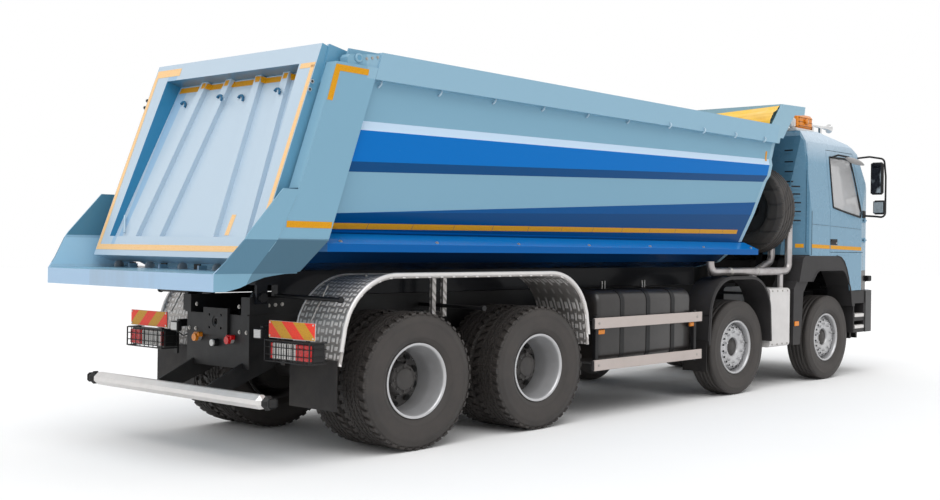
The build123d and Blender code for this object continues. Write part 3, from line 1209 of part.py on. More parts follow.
# Beacon and air horn on the roof
BEACON_X = 3125
BEACON_Y = -950
with BuildPart() as beacon:
    block((BEACON_X - 70, BEACON_X + 70), (BEACON_Y - 60, BEACON_Y + 60), (CAB_ROOF - 60, CAB_ROOF + 195))
    add(cab_over, mode=Mode.SUBTRACT)
beacon.part.label = "beacon"
export_step(beacon.part, "parts/beacon.step")

# Columns: place along the horn from its rear end, radius
HORN = [(0, 30), (160, 14), (420, 20), (520, 34), (560, 60)]
with BuildPart() as air_horn:
    with BuildSketch(Plane.XZ.offset(-BEACON_Y)):
        Polygon(*[(3290 + along, CAB_ROOF + 90 + radius) for along, radius in HORN],
                (3290 + HORN[-1][0], CAB_ROOF + 90), (3290, CAB_ROOF + 90), align=None)
    revolve(axis=Axis((0, BEACON_Y, CAB_ROOF + 90), (1, 0, 0)))
    block((3400, 3440), (BEACON_Y - 15, BEACON_Y + 15), (CAB_ROOF - 15, CAB_ROOF + 90))
    block((3600, 3640), (BEACON_Y - 15, BEACON_Y + 15), (CAB_ROOF - 60, CAB_ROOF + 90))
    add(cab_over, mode=Mode.SUBTRACT)
air_horn.part.label = "air_horn"
export_step(air_horn.part, "parts/air_horn.step")

# Cab's inside: floor tunnel, two seats, dash and steering wheel
with BuildPart() as cab_interior:
    inner_floor = CAB_LOW + CAB_WALL + SEAT_GAP
    block((2900, 3820), (-330, 330), (inner_floor, inner_floor + 180))
    for seat_y in (-640, 640):
        block((3200, 3600), (seat_y - 180, seat_y + 180), (inner_floor, inner_floor + 260))
        with BuildSketch(Plane.XZ.offset(-seat_y - 250)):
            Polygon((3080, inner_floor + 260), (3640, inner_floor + 260), (3660, inner_floor + 380),
                    (3180, inner_floor + 370), (3060, inner_floor + 1050), (2970, inner_floor + 1040),
                    align=None)
        extrude(amount=500)
    with BuildSketch(Plane.XZ.offset(-1050)):
        Polygon((4150, inner_floor + 120), (4120, inner_floor + 420), (4270, inner_floor + 500),
                (4480, inner_floor + 440), (4560, inner_floor + 120), align=None)
    extrude(amount=2100)
    with BuildSketch(Plane((3960, 640, inner_floor + 560), (0, 1, 0), (-0.8, 0, 0.6))):
        Circle(230)
        Circle(200, mode=Mode.SUBTRACT)
        Rectangle(420, 40)
    extrude(amount=30)
    with BuildSketch(Plane((3960, 640, inner_floor + 560), (0, 1, 0), (0.8, 0, -0.6))):
        Circle(40)
    extrude(amount=330)
    add(cab_hull(CAB_WALL + SEAT_GAP), mode=Mode.INTERSECT)
cab_interior.part.label = "cab_interior"
export_step(cab_interior.part, "parts/cab_interior.step")
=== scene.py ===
# %% [markdown]
# # A tipping truck, dressed for its picture
# The vehicle's forms come from a finished construction model.
# This lesson gives them paint, rubber, glass and the many small pieces that a camera finds.
# Every piece is placed in metres: X forward, Y to the vehicle's left, Z up, with the road at Z = 0.

# %% Load the construction model
import math

import bpy
from mathutils import Matrix, Vector
from mathutils.bvhtree import BVHTree


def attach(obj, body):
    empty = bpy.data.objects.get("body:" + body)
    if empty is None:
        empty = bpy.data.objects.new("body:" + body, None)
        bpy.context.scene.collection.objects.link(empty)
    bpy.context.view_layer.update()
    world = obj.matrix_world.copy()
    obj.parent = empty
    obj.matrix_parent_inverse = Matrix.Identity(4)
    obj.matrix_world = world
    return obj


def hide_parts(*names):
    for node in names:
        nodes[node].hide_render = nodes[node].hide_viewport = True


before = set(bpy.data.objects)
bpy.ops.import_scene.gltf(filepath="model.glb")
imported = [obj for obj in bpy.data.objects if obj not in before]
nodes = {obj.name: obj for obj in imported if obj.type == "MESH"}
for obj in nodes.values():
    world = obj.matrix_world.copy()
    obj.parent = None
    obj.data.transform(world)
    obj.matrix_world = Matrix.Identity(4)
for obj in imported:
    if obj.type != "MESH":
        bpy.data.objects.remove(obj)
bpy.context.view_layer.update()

# %% [markdown]
# ## Shader maths that reads like arithmetic
# A socket is wrapped in a small class, so that `height * 2 + noise` builds the nodes for it.
# One method makes every other node: its type, its settings, then what goes into its inputs.

# %% Sockets and materials
class Sock:
    """A shader output that takes part in sums and comparisons."""

    def __init__(self, net, out):
        self.net = net
        self.out = out

    def math(self, operation, *others):
        return self.net.node("Math", {"operation": operation}, [self, *others])

    def __add__(self, other):
        return self.math("ADD", other)

    __radd__ = __add__

    def __mul__(self, other):
        return self.math("MULTIPLY", other)

    __rmul__ = __mul__

    def __sub__(self, other):
        return self.math("SUBTRACT", other)

    def __rsub__(self, other):
        return self * -1 + other

    def __truediv__(self, other):
        return self.math("DIVIDE", other)

    def __rtruediv__(self, other):
        return self.math("POWER", -1.0) * other

    def __pow__(self, other):
        return self.math("POWER", other)

    def __gt__(self, other):
        return self.math("GREATER_THAN", other)

    def __lt__(self, other):
        return self.math("LESS_THAN", other)

    def __abs__(self):
        return self.math("ABSOLUTE")

    def most(self, other):
        return self.math("MAXIMUM", other)

    def fraction(self):
        return self.math("FRACT")

    def wave(self):
        return self.math("SINE")

    def between(self, low, high):
        return (self > low) * (self < high)

    def ramp(self, low, high):
        """0 below low, 1 above high, straight in between."""
        values = {"Value": self, "From Min": low, "From Max": high}
        return self.net.node("MapRange", {"clamp": True}, values)


class Net:
    """The nodes of a material, or of another owner such as the world."""

    def __init__(self, name, owner=None):
        self.mat = owner or bpy.data.materials.new(name)
        self.mat.use_nodes = True
        self.tree = self.mat.node_tree
        self.tree.nodes.clear()

    def node(self, kind, settings=None, values=None, output=0):
        made = self.tree.nodes.new("ShaderNode" + kind)
        for key, value in (settings or {}).items():
            setattr(made, key, value)
        pairs = enumerate(values) if isinstance(values, list) else (values or {}).items()
        for key, value in pairs:
            socket = made.inputs[key]
            if isinstance(value, Sock):
                self.tree.links.new(value.out, socket)
            else:
                socket.default_value = value
        return Sock(self, made.outputs[output]) if made.outputs else None

    def place(self):
        """X, Y and Z of the point that is shaded, in the vehicle's frame."""
        if not hasattr(self, "xyz"):
            point = self.node("TexCoord", output="Object")
            self.xyz = [self.node("SeparateXYZ", {}, [point], i) for i in range(3)]
        return self.xyz

    def facing(self):
        """X, Y and Z of the surface's own direction."""
        normal = self.node("TexCoord", output="Normal")
        return [self.node("SeparateXYZ", {}, [normal], i) for i in range(3)]

    def noise(self, scale, detail=4.0, rough=0.6, stretch=None):
        point = self.node("TexCoord", output="Object")
        if stretch:
            point = self.node("VectorMath", {"operation": "MULTIPLY"}, [point, stretch])
        values = {"Vector": point, "Scale": scale, "Detail": detail, "Roughness": rough}
        return self.node("TexNoise", {}, values)

    def mix(self, factor, first, second):
        settings = {"data_type": "RGBA", "clamp_factor": True}
        return self.node("Mix", settings, {0: factor, 6: first, 7: second}, 2)

    def cells(self, scale):
        """Distance from the edge of small honeycomb cells."""
        point = self.node("TexCoord", output="Object")
        return self.node("TexVoronoi", {"feature": "DISTANCE_TO_EDGE"}, {"Vector": point, "Scale": scale})

    def bump(self, height, distance, strength=1.0):
        return self.node("Bump", {}, {"Height": height, "Distance": distance, "Strength": strength})

    def finish(self, **values):
        """Principled surface; names use underscores for spaces."""
        shader = self.node("BsdfPrincipled", {}, {k.replace("_", " "): v for k, v in values.items()})
        self.node("OutputMaterial", {}, {"Surface": shader})
        return self.mat


def rgb(red, green, blue):
    return (red, green, blue, 1.0)


def darker(colour, share):
    """A share of a colour's light."""
    return tuple(c * share for c in colour[:3]) + (1.0,)


print("shader kit ready")

# %% [markdown]
# ## Building meshes by hand
# A `Mesh` collects corners and faces from simple shapes, each with its own material.
# Boxes, prisms, tubes, turned profiles and bolts cover nearly everything on a truck.

# %% Mesh kit
def link(name, data):
    """A new object in the scene."""
    obj = bpy.data.objects.new(name, data)
    bpy.context.scene.collection.objects.link(obj)
    return obj


def circle(radius, steps):
    """Places on a circle, as pairs."""
    turns = [2 * math.pi * k / steps for k in range(steps)]
    return [(radius * math.cos(a), radius * math.sin(a)) for a in turns]


class Mesh:
    """Corners, faces and materials of one piece while it is being built."""

    def __init__(self, *mats):
        self.mats = list(mats)
        self.points = []
        self.faces = []
        self.which = []
        self.smooth = []

    def add(self, points, faces, mat=0, smooth=False, move=None):
        start = len(self.points)
        self.points += [tuple(move @ Vector(p)) if move else tuple(p) for p in points]
        for face in faces:
            self.faces.append([start + i for i in face])
            self.which.append(mat)
            self.smooth.append(smooth)

    def loft(self, rings, mat=0, smooth=True, ends=True):
        """Rings with the same number of corners, joined in order and closed by flat ends."""
        n = len(rings[0])
        faces = [(r * n + k, r * n + (k + 1) % n, (r + 1) * n + (k + 1) % n, (r + 1) * n + k)
                 for r in range(len(rings) - 1) for k in range(n)]
        self.add([p for ring in rings for p in ring], faces, mat, smooth)
        if ends:
            self.add(rings[0], [tuple(range(n))[::-1]], mat)
            self.add(rings[-1], [tuple(range(n))], mat)

    def box(self, low, high, mat=0, chamfer=0.0, move=None):
        """A box; a chamfer cuts its edges so that they catch light."""
        if chamfer == 0:
            pts = [(x, y, z) for z in (low[2], high[2]) for y in (low[1], high[1]) for x in (low[0], high[0])]
            faces = [(0, 2, 3, 1), (4, 5, 7, 6), (0, 1, 5, 4), (2, 6, 7, 3), (0, 4, 6, 2), (1, 3, 7, 5)]
            self.add(pts, faces, mat, False, move)
            return
        pts = []
        for axis in range(3):
            for corner in range(8):
                p = []
                for i in range(3):
                    side = corner >> i & 1
                    inset = 0 if i == axis else chamfer
                    p.append(high[i] - inset if side else low[i] + inset)
                pts.append(tuple(p))
        faces = []
        quad = [(0, 2, 6, 4), (1, 5, 7, 3)], [(0, 4, 5, 1), (2, 3, 7, 6)], [(0, 1, 3, 2), (4, 6, 7, 5)]
        for axis in range(3):
            for q in quad[axis]:
                faces.append(tuple(axis * 8 + i for i in q))
        for a, b, axis in ((0, 1, 2), (1, 2, 0), (0, 2, 1)):
            for corner in range(8):
                if not corner >> axis & 1:
                    other = corner | 1 << axis
                    flip = ((corner >> a & 1) + (corner >> b & 1)) % 2 == 0
                    face = (a * 8 + corner, b * 8 + corner, b * 8 + other, a * 8 + other)
                    if (axis == 1) == flip:
                        face = face[::-1]
                    faces.append(face)
        for corner in range(8):
            odd = bin(corner).count("1") % 2
            face = (corner, 8 + corner, 16 + corner)
            faces.append(face if odd else face[::-1])
        self.add(pts, faces, mat, False, move)

    def side_box(self, side, low, high, mat=0, chamfer=0.0):
        """A box on the right (-1) or the left (1); its places across count outwards from the middle."""
        near, far = sorted((side * low[1], side * high[1]))
        self.box((low[0], near, low[2]), (high[0], far, high[2]), mat, chamfer)

    def prism(self, outline, axis, low, high, mat=0, move=None):
        """An outline in the other two axes, in X, Y, Z order, stretched along an axis."""
        pts = []
        for level in (low, high):
            for u, v in outline:
                p = [u, v]
                p.insert("xyz".index(axis), level)
                pts.append(p)
        n = len(outline)
        faces = [tuple(range(n)), tuple(range(2 * n - 1, n - 1, -1))]
        faces += [(i, i + n, (i + 1) % n + n, (i + 1) % n) for i in range(n)]
        self.add(pts, faces, mat, False, move)

    def turned(self, profile, centre, axis=(0, 1, 0), steps=48, mat=0, smooth=True, closed=False):
        """A profile of (radius, place along the axis) turned about the axis through a centre."""
        frame_ = Vector(axis).normalized().to_track_quat("Z", "Y").to_matrix()
        pts = []
        for k in range(steps):
            a = 2 * math.pi * k / steps
            for r, along in profile:
                corner = Vector((r * math.cos(a), r * math.sin(a), along))
                pts.append(Vector(centre) + frame_ @ corner)
        n = len(profile)
        rows = n if closed else n - 1
        start = len(self.points)
        self.points += [tuple(p) for p in pts]
        for k in range(steps):
            for i in range(rows):
                j = (i + 1) % n
                a, b = k * n, (k + 1) % steps * n
                self.faces.append([start + a + i, start + b + i, start + b + j, start + a + j])
                self.which.append(mat)
                self.smooth.append(smooth)

    def rod(self, first, last, r, steps=12, mat=0, r2=None, smooth=True):
        """A round bar or cone with flat ends."""
        first, last = Vector(first), Vector(last)
        frame_ = (last - first).normalized().to_track_quat("Z", "Y").to_matrix()
        far_r = r if r2 is None else r2
        rings = [[end + frame_ @ Vector((u, v, 0)) for u, v in circle(radius, steps)]
                 for end, radius in ((first, r), (last, far_r))]
        self.loft(rings, mat, smooth)

    def tube(self, path, r, steps=10, mat=0, bend=0.0):
        """A round tube along a path; its corners are rounded by a bend radius."""
        line = rounded(path, bend) if bend else [Vector(p) for p in path]
        rings = []
        side = None
        for i, p in enumerate(line):
            ahead = (line[min(i + 1, len(line) - 1)] - line[max(i - 1, 0)]).normalized()
            if side is None:
                side = ahead.orthogonal().normalized()
            side = (side - ahead * side.dot(ahead)).normalized()
            up = ahead.cross(side)
            rings.append([p + side * u + up * v for u, v in circle(r, steps)])
        self.loft(rings, mat)

    def bolt(self, place, axis, r=0.012, high=0.01, mat=0):
        """A hexagon head on a round washer."""
        place, axis = Vector(place), Vector(axis).normalized()
        self.rod(place, place + axis * 0.003, r * 1.45, 14, mat)
        self.rod(place, place + axis * high, r, 6, mat, r * 0.94, False)

    def data(self, name):
        """The piece as Blender keeps a mesh."""
        data = bpy.data.meshes.new(name)
        data.from_pydata(self.points, [], self.faces)
        for mat in self.mats:
            data.materials.append(mat)
        data.polygons.foreach_set("material_index", self.which)
        data.polygons.foreach_set("use_smooth", self.smooth)
        data.update()
        return data

    def done(self, name, body, replaces=(), bevel=0.0):
        """The finished object, riding on a body of the construction model."""
        obj = link(name, self.data(name))
        if bevel:
            round_edges(obj, bevel)
        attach(obj, body)
        if replaces:
            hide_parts(*replaces)
        return obj


def rounded(path, radius, parts=5):
    """A path whose corners are replaced by arcs."""
    pts = [Vector(p) for p in path]
    out = [pts[0]]
    for before, here, after in zip(pts, pts[1:], pts[2:]):
        a, b = before - here, after - here
        half = a.angle(b) / 2
        cut = min(radius / math.tan(half), a.length * 0.49, b.length * 0.49)
        r = cut * math.tan(half)
        a.normalize()
        b.normalize()
        middle = (a + b).normalized()
        centre = here + middle * (r / math.sin(half))
        first, last = here + a * cut - centre, here + b * cut - centre
        for k in range(parts + 1):
            t = k / parts
            turned = first.normalized().slerp(last.normalized(), t)
            out.append(centre + turned * r)
    return out + [pts[-1]]


def round_edges(obj, width, segments=2):
    """Rounded edges, so that every fold of sheet metal catches a line of light."""
    mod = obj.modifiers.new("edges", "BEVEL")
    mod.width = width
    mod.segments = segments
    mod.limit_method = "ANGLE"
    mod.angle_limit = math.radians(28)
    mod.harden_normals = False


print("mesh kit ready")

# %% [markdown]
# ## The camera of the photograph
# The picture was taken from behind and to the right, at chest height, with a long lens.
# It was cropped off centre, so the lens is shifted sideways instead of turned, and uprights stay straight.

# %% Camera
VIEW = {"place": (-9.184, -8.2754, 1.6163), "yaw": 35.1416, "pitch": 0.1838, "roll": 0.7897}
yaw, pitch, roll = (math.radians(VIEW[k]) for k in ("yaw", "pitch", "roll"))
ahead = Vector((math.cos(yaw) * math.cos(pitch), math.sin(yaw) * math.cos(pitch), math.sin(pitch)))
right = Vector((math.sin(yaw), -math.cos(yaw), 0))
up = right.cross(ahead)
right, up = right * math.cos(roll) + up * math.sin(roll), up * math.cos(roll) - right * math.sin(roll)
lens = bpy.data.cameras.new("lens")
camera = link("camera", lens)
bpy.context.scene.camera = camera
axes = Matrix((right, up, -ahead)).transposed().to_4x4()
camera.matrix_world = Matrix.Translation(VIEW["place"]) @ axes
lens.sensor_width = 36.0
lens.lens = 43.689
lens.shift_x = -0.25665
lens.shift_y = -0.00494
lens.clip_end = 400.0
print("camera at", VIEW["place"])

# %% [markdown]
# ## A white studio
# The floor is a wide pale sheet that takes soft shadows, and the world above it is an even white sky.
# Rays that come straight from the camera see pure white, so the ground fades away at a distance.

# %% Light and floor
scene = bpy.context.scene
scene.view_settings.view_transform = "Standard"
SKY_STRENGTH = 0.74
world = bpy.data.worlds.new("studio")
scene.world = world
sky = Net("studio", world)
upwards = sky.node("SeparateXYZ", {}, [sky.node("TexCoord", output="Generated")], 2).ramp(-1.0, 1.0)
even_sky = sky.mix(upwards.ramp(0.46, 0.62), rgb(0.36, 0.37, 0.38), rgb(1, 1, 1))
lit = sky.node("Background", {}, {"Color": even_sky, "Strength": SKY_STRENGTH})
seen = sky.node("Background", {}, {"Color": rgb(1, 1, 1), "Strength": 1.0})
clear = sky.node("LightPath", output="Is Camera Ray")
for ray in ("Is Glossy Ray", "Is Transmission Ray"):
    clear = clear.most(sky.node("LightPath", output=ray))
sky.node("OutputWorld", {}, {"Surface": sky.node("MixShader", {}, [clear, lit, seen])})

SUN_STRENGTH, SUN_WIDTH = 1.45, math.radians(55)
SUN_TURN = (math.radians(28), math.radians(-12), math.radians(-30))
sun_data = bpy.data.lights.new("softbox", "SUN")
sun_data.energy = SUN_STRENGTH
sun_data.angle = SUN_WIDTH
sun = link("softbox", sun_data)
sun.rotation_euler = SUN_TURN

floor_net = Net("floor")
floor_tone = floor_net.mix(floor_net.noise(0.6, 2.0), rgb(0.955, 0.955, 0.955), rgb(0.985, 0.985, 0.985))
floor_mat = floor_net.finish(Base_Color=floor_tone, Roughness=0.9, Specular_IOR_Level=0.1)
FLOOR_HALF, FLOOR_Z = 60, -0.002
floor = Mesh(floor_mat)
corners = ((-1, -1), (1, -1), (1, 1), (-1, 1))
floor.add([(FLOOR_HALF * u, FLOOR_HALF * v, FLOOR_Z) for u, v in corners], [(0, 1, 2, 3)])
floor_obj = link("floor", floor.data("floor"))
print("studio ready")

# %% [markdown]
# ## Paint
# Vehicle paint is a colour under a clear coat, never quite even: a little dust settles low down,
# and the coat has a faint ripple. The same recipe serves every blue on the truck.

# %% Painted steel
LIGHT = rgb(0.225, 0.415, 0.545)
GATE = rgb(0.49, 0.61, 0.72)
BRIGHT = rgb(0.0, 0.155, 0.52)
LEDGE_LIT = rgb(0.005, 0.20, 0.60)
TAPE = rgb(0.78, 0.36, 0.004)


def dusted(net, colour, amount=0.35, top=1.2):
    """A colour with fine road dust that fades out at a height."""
    x, y, z = net.place()
    cloud = net.noise(2.2, 6.0, 0.65)
    low = 1 - z.ramp(0.1, top)
    dust = cloud.ramp(0.45, 0.75) * low * amount
    return net.mix(dust, colour, rgb(0.20, 0.18, 0.155))


def paint(name, colour, rough=0.24, low_dust=0.2):
    net = Net(name)
    cloud = net.noise(0.9, 3.0)
    tone = net.mix(cloud * 0.35, colour, darker(colour, 0.86))
    tone = dusted(net, tone, low_dust)
    ripple = net.noise(38.0, 2.0) * 0.4 + net.noise(3.0, 2.0)
    return net.finish(Base_Color=tone, Roughness=net.noise(5.0, 5.0) * 0.10 + rough, Coat_Weight=0.3,
                      Coat_Roughness=0.06, Specular_IOR_Level=0.3, Normal=net.bump(ripple, 0.0035, 0.22))


light_paint = paint("light_paint", LIGHT)


def gate_sides():
    """The tailgate's pale blue, with painted shade: much deeper on the recess's left wall, on the bend beside
    it, under its top edge and on the gate's sides.
    """
    net = Net("gate_sides")
    x, y, z = net.place()
    face = net.facing()
    tone = net.mix(net.noise(0.9, 3.0) * 0.35, GATE, darker(GATE, 0.9))
    inner = (abs(y) < 1.02) * (z > 1.55) * (z < 3.0)
    # Painted shade: the recess's left wall, a bend beside it and the faces under its top edge take deeper
    # blues for the shade that falls there.
    wall = (face[1] < -0.4) * (y > 0.84) * inner
    above = (face[2] < -0.3) * (abs(y) < 1.02) * z.between(1.75, 3.08)
    bend = inner * (y > 0.945 - z * 0.06) * (y < 0.90) * (1 - wall)
    tone = net.mix(bend * 0.5, tone, rgb(0.16, 0.40, 0.66))
    tone = net.mix(wall * 0.95, tone, rgb(0.01, 0.21, 0.40))
    tone = net.mix(above * 0.9, tone, rgb(0.03, 0.13, 0.22))
    # Painted shade: the gate's sides take a deeper blue.
    shaded_sides = (abs(y) > 1.108) * 0.9
    tone = net.mix(shaded_sides, tone, rgb(0.09, 0.30, 0.46))
    ripple = net.noise(38.0, 2.0) * 0.4 + net.noise(3.0, 2.0)
    return net.finish(Base_Color=tone, Roughness=net.noise(5.0, 5.0) * 0.10 + 0.28, Coat_Weight=0.25,
                      Coat_Roughness=0.06, Specular_IOR_Level=0.3, Normal=net.bump(ripple, 0.0035, 0.22))


gate_paint = gate_sides()


# Edges of the bands on the body's side: height at its rear, and how much the edge rises towards its front.
BODY_REAR, BODY_LONG = -3.85, 5.9
# The pale band along the upward-facing fold is a painted highlight, and the dark shade band along the
# downward-facing fold is painted shade.
LIT_FOLD_TOP, LIT_FOLD_LOW = (2.540, 0.127), (2.468, 0.130)
BRIGHT_TOP, BRIGHT_LOW = (2.469, 0.130), (2.228, 0.249)
SHADE_TOP, SHADE_LOW = (2.229, 0.249), (2.153, 0.252)
WEDGE_TOP, DEEP_TOP = (1.845, 0.328), (1.850, 0.176)


def body_sides():
    """The tipping body: bands of blue on its outside, some of them painted light and shade on its folds,
    ledge, skirt and rear corners; plain light blue inside and on its rails.
    """
    net = Net("body_sides")
    x, y, z = net.place()
    face = net.facing()

    def edge(line):
        return line[0] + (x - BODY_REAR) / BODY_LONG * line[1]

    outside = (abs(y) > 0.5) * (face[1] * y > -0.05)
    cloud = net.noise(0.8, 3.0)
    light = net.mix(cloud * 0.4, LIGHT, rgb(0.195, 0.37, 0.495))
    strip = (z > edge(LIT_FOLD_LOW)) * (z < edge(LIT_FOLD_TOP))
    bright = (z > edge(BRIGHT_LOW)) * (z < edge(BRIGHT_TOP))
    shade = (z > edge(SHADE_LOW)) * (z < edge(SHADE_TOP))
    wedge = z < edge(WEDGE_TOP)
    # Painted highlight on the upward-facing fold, then the blue band, then painted shade on the
    # downward-facing fold.
    tone = net.mix(strip, light, rgb(0.55, 0.70, 0.86))
    tone = net.mix(bright, tone, BRIGHT)
    tone = net.mix(shade, tone, rgb(0.0, 0.068, 0.22))
    lower = net.mix(z < edge(DEEP_TOP), rgb(0.0, 0.080, 0.27), rgb(0.0, 0.062, 0.20))
    tone = net.mix(wedge, tone, lower)
    # Painted shade: below the ledge the wall turns a near-black blue, for the plate that slopes in
    # underneath.
    under = net.mix(z < 1.56, tone, rgb(0.002, 0.03, 0.10))
    wall = outside * (abs(y) < 1.2185) * (x > z * 0.3217 - 4.56)
    tone = net.mix(wall, light, under)
    ripple = net.noise(38.0, 2.0) * 0.4 + net.noise(2.0, 2.0) * 1.4
    # The ledge's upward face takes a lit, brighter blue and its front face a darker one: painted light and
    # shade.
    shelf = (abs(y) > 1.02) * (abs(y) < 1.212) * z.between(1.55, 1.72) * (x > -4.085) * outside
    tone = net.mix(shelf, tone, net.mix(face[2] > 0.35, rgb(0.0, 0.105, 0.37), LEDGE_LIT))
    # Painted shade: the low part of the rear post and skirt is darkened.
    skirt_low_shade = (abs(y) > 1.14) * z.between(1.402, 1.640) * (1 - shelf) * (x < -3.98)
    tone = net.mix(skirt_low_shade * outside * 0.62, tone, rgb(0.05, 0.14, 0.22))
    belly = (z < 1.408) * (abs(y) < 1.135) * (x > -4.20)
    tone = net.mix(belly, tone, rgb(0.012, 0.013, 0.016))
    rail = outside * (abs(y) > 1.2185) * (z > 2.86)
    tone = net.mix(rail * (x > -3.7), tone, rgb(0.285, 0.47, 0.60))
    # Painted highlight: the rear-facing edge of the lip is given a paler blue.
    lit_lip_edge = (face[0] < -0.6) * (z < 1.44) * (x < -4.2)
    tone = net.mix(lit_lip_edge, tone, rgb(0.37, 0.53, 0.71))
    # Painted shade: the low part of the rear wing is darkened.
    foot = outside * (z < 1.650) * (x > z * 0.544 - 5.329) * (x < -4.0)
    tone = net.mix(foot * 0.55, tone, rgb(0.05, 0.10, 0.14))
    # Painted light and shade: the inner face of the left wing is lighter below and darker above.
    left_wing_light_and_shade = (face[1] < -0.5) * (y > 1.0) * (x < -3.99)
    tone = net.mix(left_wing_light_and_shade, tone, net.mix(z > 1.66, rgb(0.32, 0.54, 0.71), rgb(0.095, 0.25, 0.36)))
    streak = net.noise(1.0, 5.0, 0.6, (3.0, 3.0, 0.35))
    worn = (1 - outside) * (abs(y) < 1.15) * (1 - belly) * streak.ramp(0.4, 0.7) * 0.3
    tone = net.mix(worn, tone, rgb(0.30, 0.30, 0.29))
    return net.finish(Base_Color=tone, Roughness=net.noise(5.0, 5.0) * 0.10 + 0.2, Coat_Weight=0.06,
                      Coat_Roughness=0.05, Specular_IOR_Level=0.09, Normal=net.bump(ripple, 0.0035, 0.25))


body_paint = body_sides()
print("paints ready")

# %% [markdown]
# ## Rubber, plastic and bare metal
# Dark things differ by their sheen and grain: tyres are dusty and matt, mouldings have a fine leather grain,
# and black steel takes a little road dust that fades out with height.

# %% Dark materials and metals
def plain(name, colour, rough, metallic=0.0, grain=60.0, depth=0.001, coat=0.0, dust=0.12, second=None,
          gloss=0.3):
    """A colour that varies towards a second one, with a grained surface."""
    net = Net(name)
    tone = net.mix(net.noise(7.0, 6.0), colour, second or darker(colour, 0.7))
    if dust:
        tone = dusted(net, tone, dust, 1.4)
    return net.finish(Base_Color=tone, Metallic=metallic, Roughness=net.noise(11.0, 5.0) * 0.15 + rough,
                      Coat_Weight=coat, Specular_IOR_Level=gloss,
                      Normal=net.bump(net.noise(grain, 5.0), depth, 0.5))


side_rubber = plain("side_rubber", rgb(0.020, 0.018, 0.018), 0.55, grain=160.0, dust=0.2)
black_plastic = plain("black_plastic", rgb(0.012, 0.012, 0.013), 0.42, grain=220.0, depth=0.0006)
arch_plastic = plain("arch_plastic", rgb(0.036, 0.034, 0.035), 0.45, grain=260.0, depth=0.0006, dust=0.15)
black_steel = plain("black_steel", rgb(0.010, 0.010, 0.011), 0.38, 0.0, 30.0, 0.0015)
iron = plain("iron", rgb(0.028, 0.026, 0.025), 0.6, 0.3, 45.0, 0.002, dust=0.2)
dark_tank = plain("dark_tank", rgb(0.022, 0.019, 0.018), 0.30, 0.0, 24.0, coat=0.25, gloss=0.5)
silver = plain("silver", rgb(0.62, 0.62, 0.63), 0.3, 0.55, 50.0, 0.0006, dust=0.25,
               second=rgb(0.48, 0.48, 0.49))
bare = plain("bare", rgb(0.80, 0.78, 0.765), 0.34, 0.6, 40.0, 0.0008, dust=0.1,
             second=rgb(0.62, 0.60, 0.585), gloss=0.5)
plank_metal = plain("plank_metal", rgb(0.56, 0.49, 0.46), 0.42, 0.2, 40.0, 0.0006, dust=0.15,
                    second=rgb(0.50, 0.44, 0.41))
chrome = plain("chrome", rgb(0.80, 0.80, 0.80), 0.07, 1.0, 20.0, 0.0003, dust=0.0)
zinc = plain("zinc", rgb(0.50, 0.48, 0.45), 0.35, 0.8, 60.0, 0.0008, dust=0.1)
white_steel = plain("white_steel", rgb(0.72, 0.70, 0.68), 0.35, 0.0, 30.0, 0.0006, dust=0.25,
                    second=rgb(0.62, 0.60, 0.58))
hose_black = plain("hose_black", rgb(0.014, 0.014, 0.015), 0.4, grain=120.0)
PLATE_PITCH = 1 / 21


def tread_plate():
    """Aluminium sheet with a pattern of raised bars, each at right angles to its neighbours; the bars are
    painted bright as highlight and the ground between them dark as shade.
    """
    net = Net("tread_plate")
    x, y, z = net.place()
    arc = x * 0.75 + z * 0.66
    u, v = arc / PLATE_PITCH, y / PLATE_PITCH
    odd = ((u.math("FLOOR") + v.math("FLOOR")) * 0.5).fraction() > 0.25
    a, b = abs(u.fraction() - 0.5), abs(v.fraction() - 0.5)
    first = a.ramp(0.28, 0.18) * b.ramp(0.46, 0.36)
    second = b.ramp(0.28, 0.18) * a.ramp(0.46, 0.36)
    raised = odd * first + (1 - odd) * second
    cloud = net.noise(5.0, 5.0)
    # Painted light and shade: the ground is a dark grey and the raised bars near white, with less metal sheen
    # on the bars.
    tone = net.mix(cloud, rgb(0.50, 0.47, 0.45), rgb(0.33, 0.31, 0.295))
    tone = net.mix(raised * 0.9, tone, rgb(0.90, 0.87, 0.85))
    return net.finish(Base_Color=tone, Metallic=0.55 - raised * 0.35, Roughness=cloud * 0.15 + 0.28,
                      Normal=net.bump(raised, 0.004, 0.9))


def reflective(name, colour, second):
    """Reflective tape: a honeycomb of tiny cells under a clear film."""
    net = Net(name)
    cells = net.cells(120.0)
    tone = net.mix(cells.ramp(0.02, 0.09), second, colour)
    tone = net.mix(net.noise(6.0, 3.0) * 0.4, tone, second)
    return net.finish(Base_Color=tone, Roughness=net.noise(20.0, 3.0) * 0.1 + 0.3, Coat_Weight=0.1,
                      Specular_IOR_Level=0.2, Normal=net.bump(cells, 0.0006, 0.4))


def lens_plastic(name, colour):
    """A moulded lamp lens with vertical flutes."""
    net = Net(name)
    x, y, z = net.place()
    flute = abs((y * 90 + x * 70).fraction() - 0.5) + abs((z * 90).fraction() - 0.5)
    tone = net.mix(flute, colour, darker(colour, 0.55))
    return net.finish(Base_Color=tone, Roughness=net.noise(30.0, 2.0) * 0.06 + 0.12, Coat_Weight=0.2,
                      Specular_IOR_Level=0.35, Normal=net.bump(flute, 0.002, 0.6))


tread_mat = tread_plate()
tape = reflective("tape", TAPE, rgb(0.60, 0.26, 0.002))
# A paler copy of the amber tape for the tailgate's faces in light: painted light.
tape_lit = reflective("tape_lit", rgb(0.94, 0.63, 0.33), rgb(0.86, 0.51, 0.20))
red_lens = lens_plastic("red_lens", rgb(0.78, 0.008, 0.01))
white_lens = lens_plastic("white_lens", rgb(0.85, 0.83, 0.80))
amber_lens = lens_plastic("amber_lens", rgb(0.95, 0.30, 0.02))


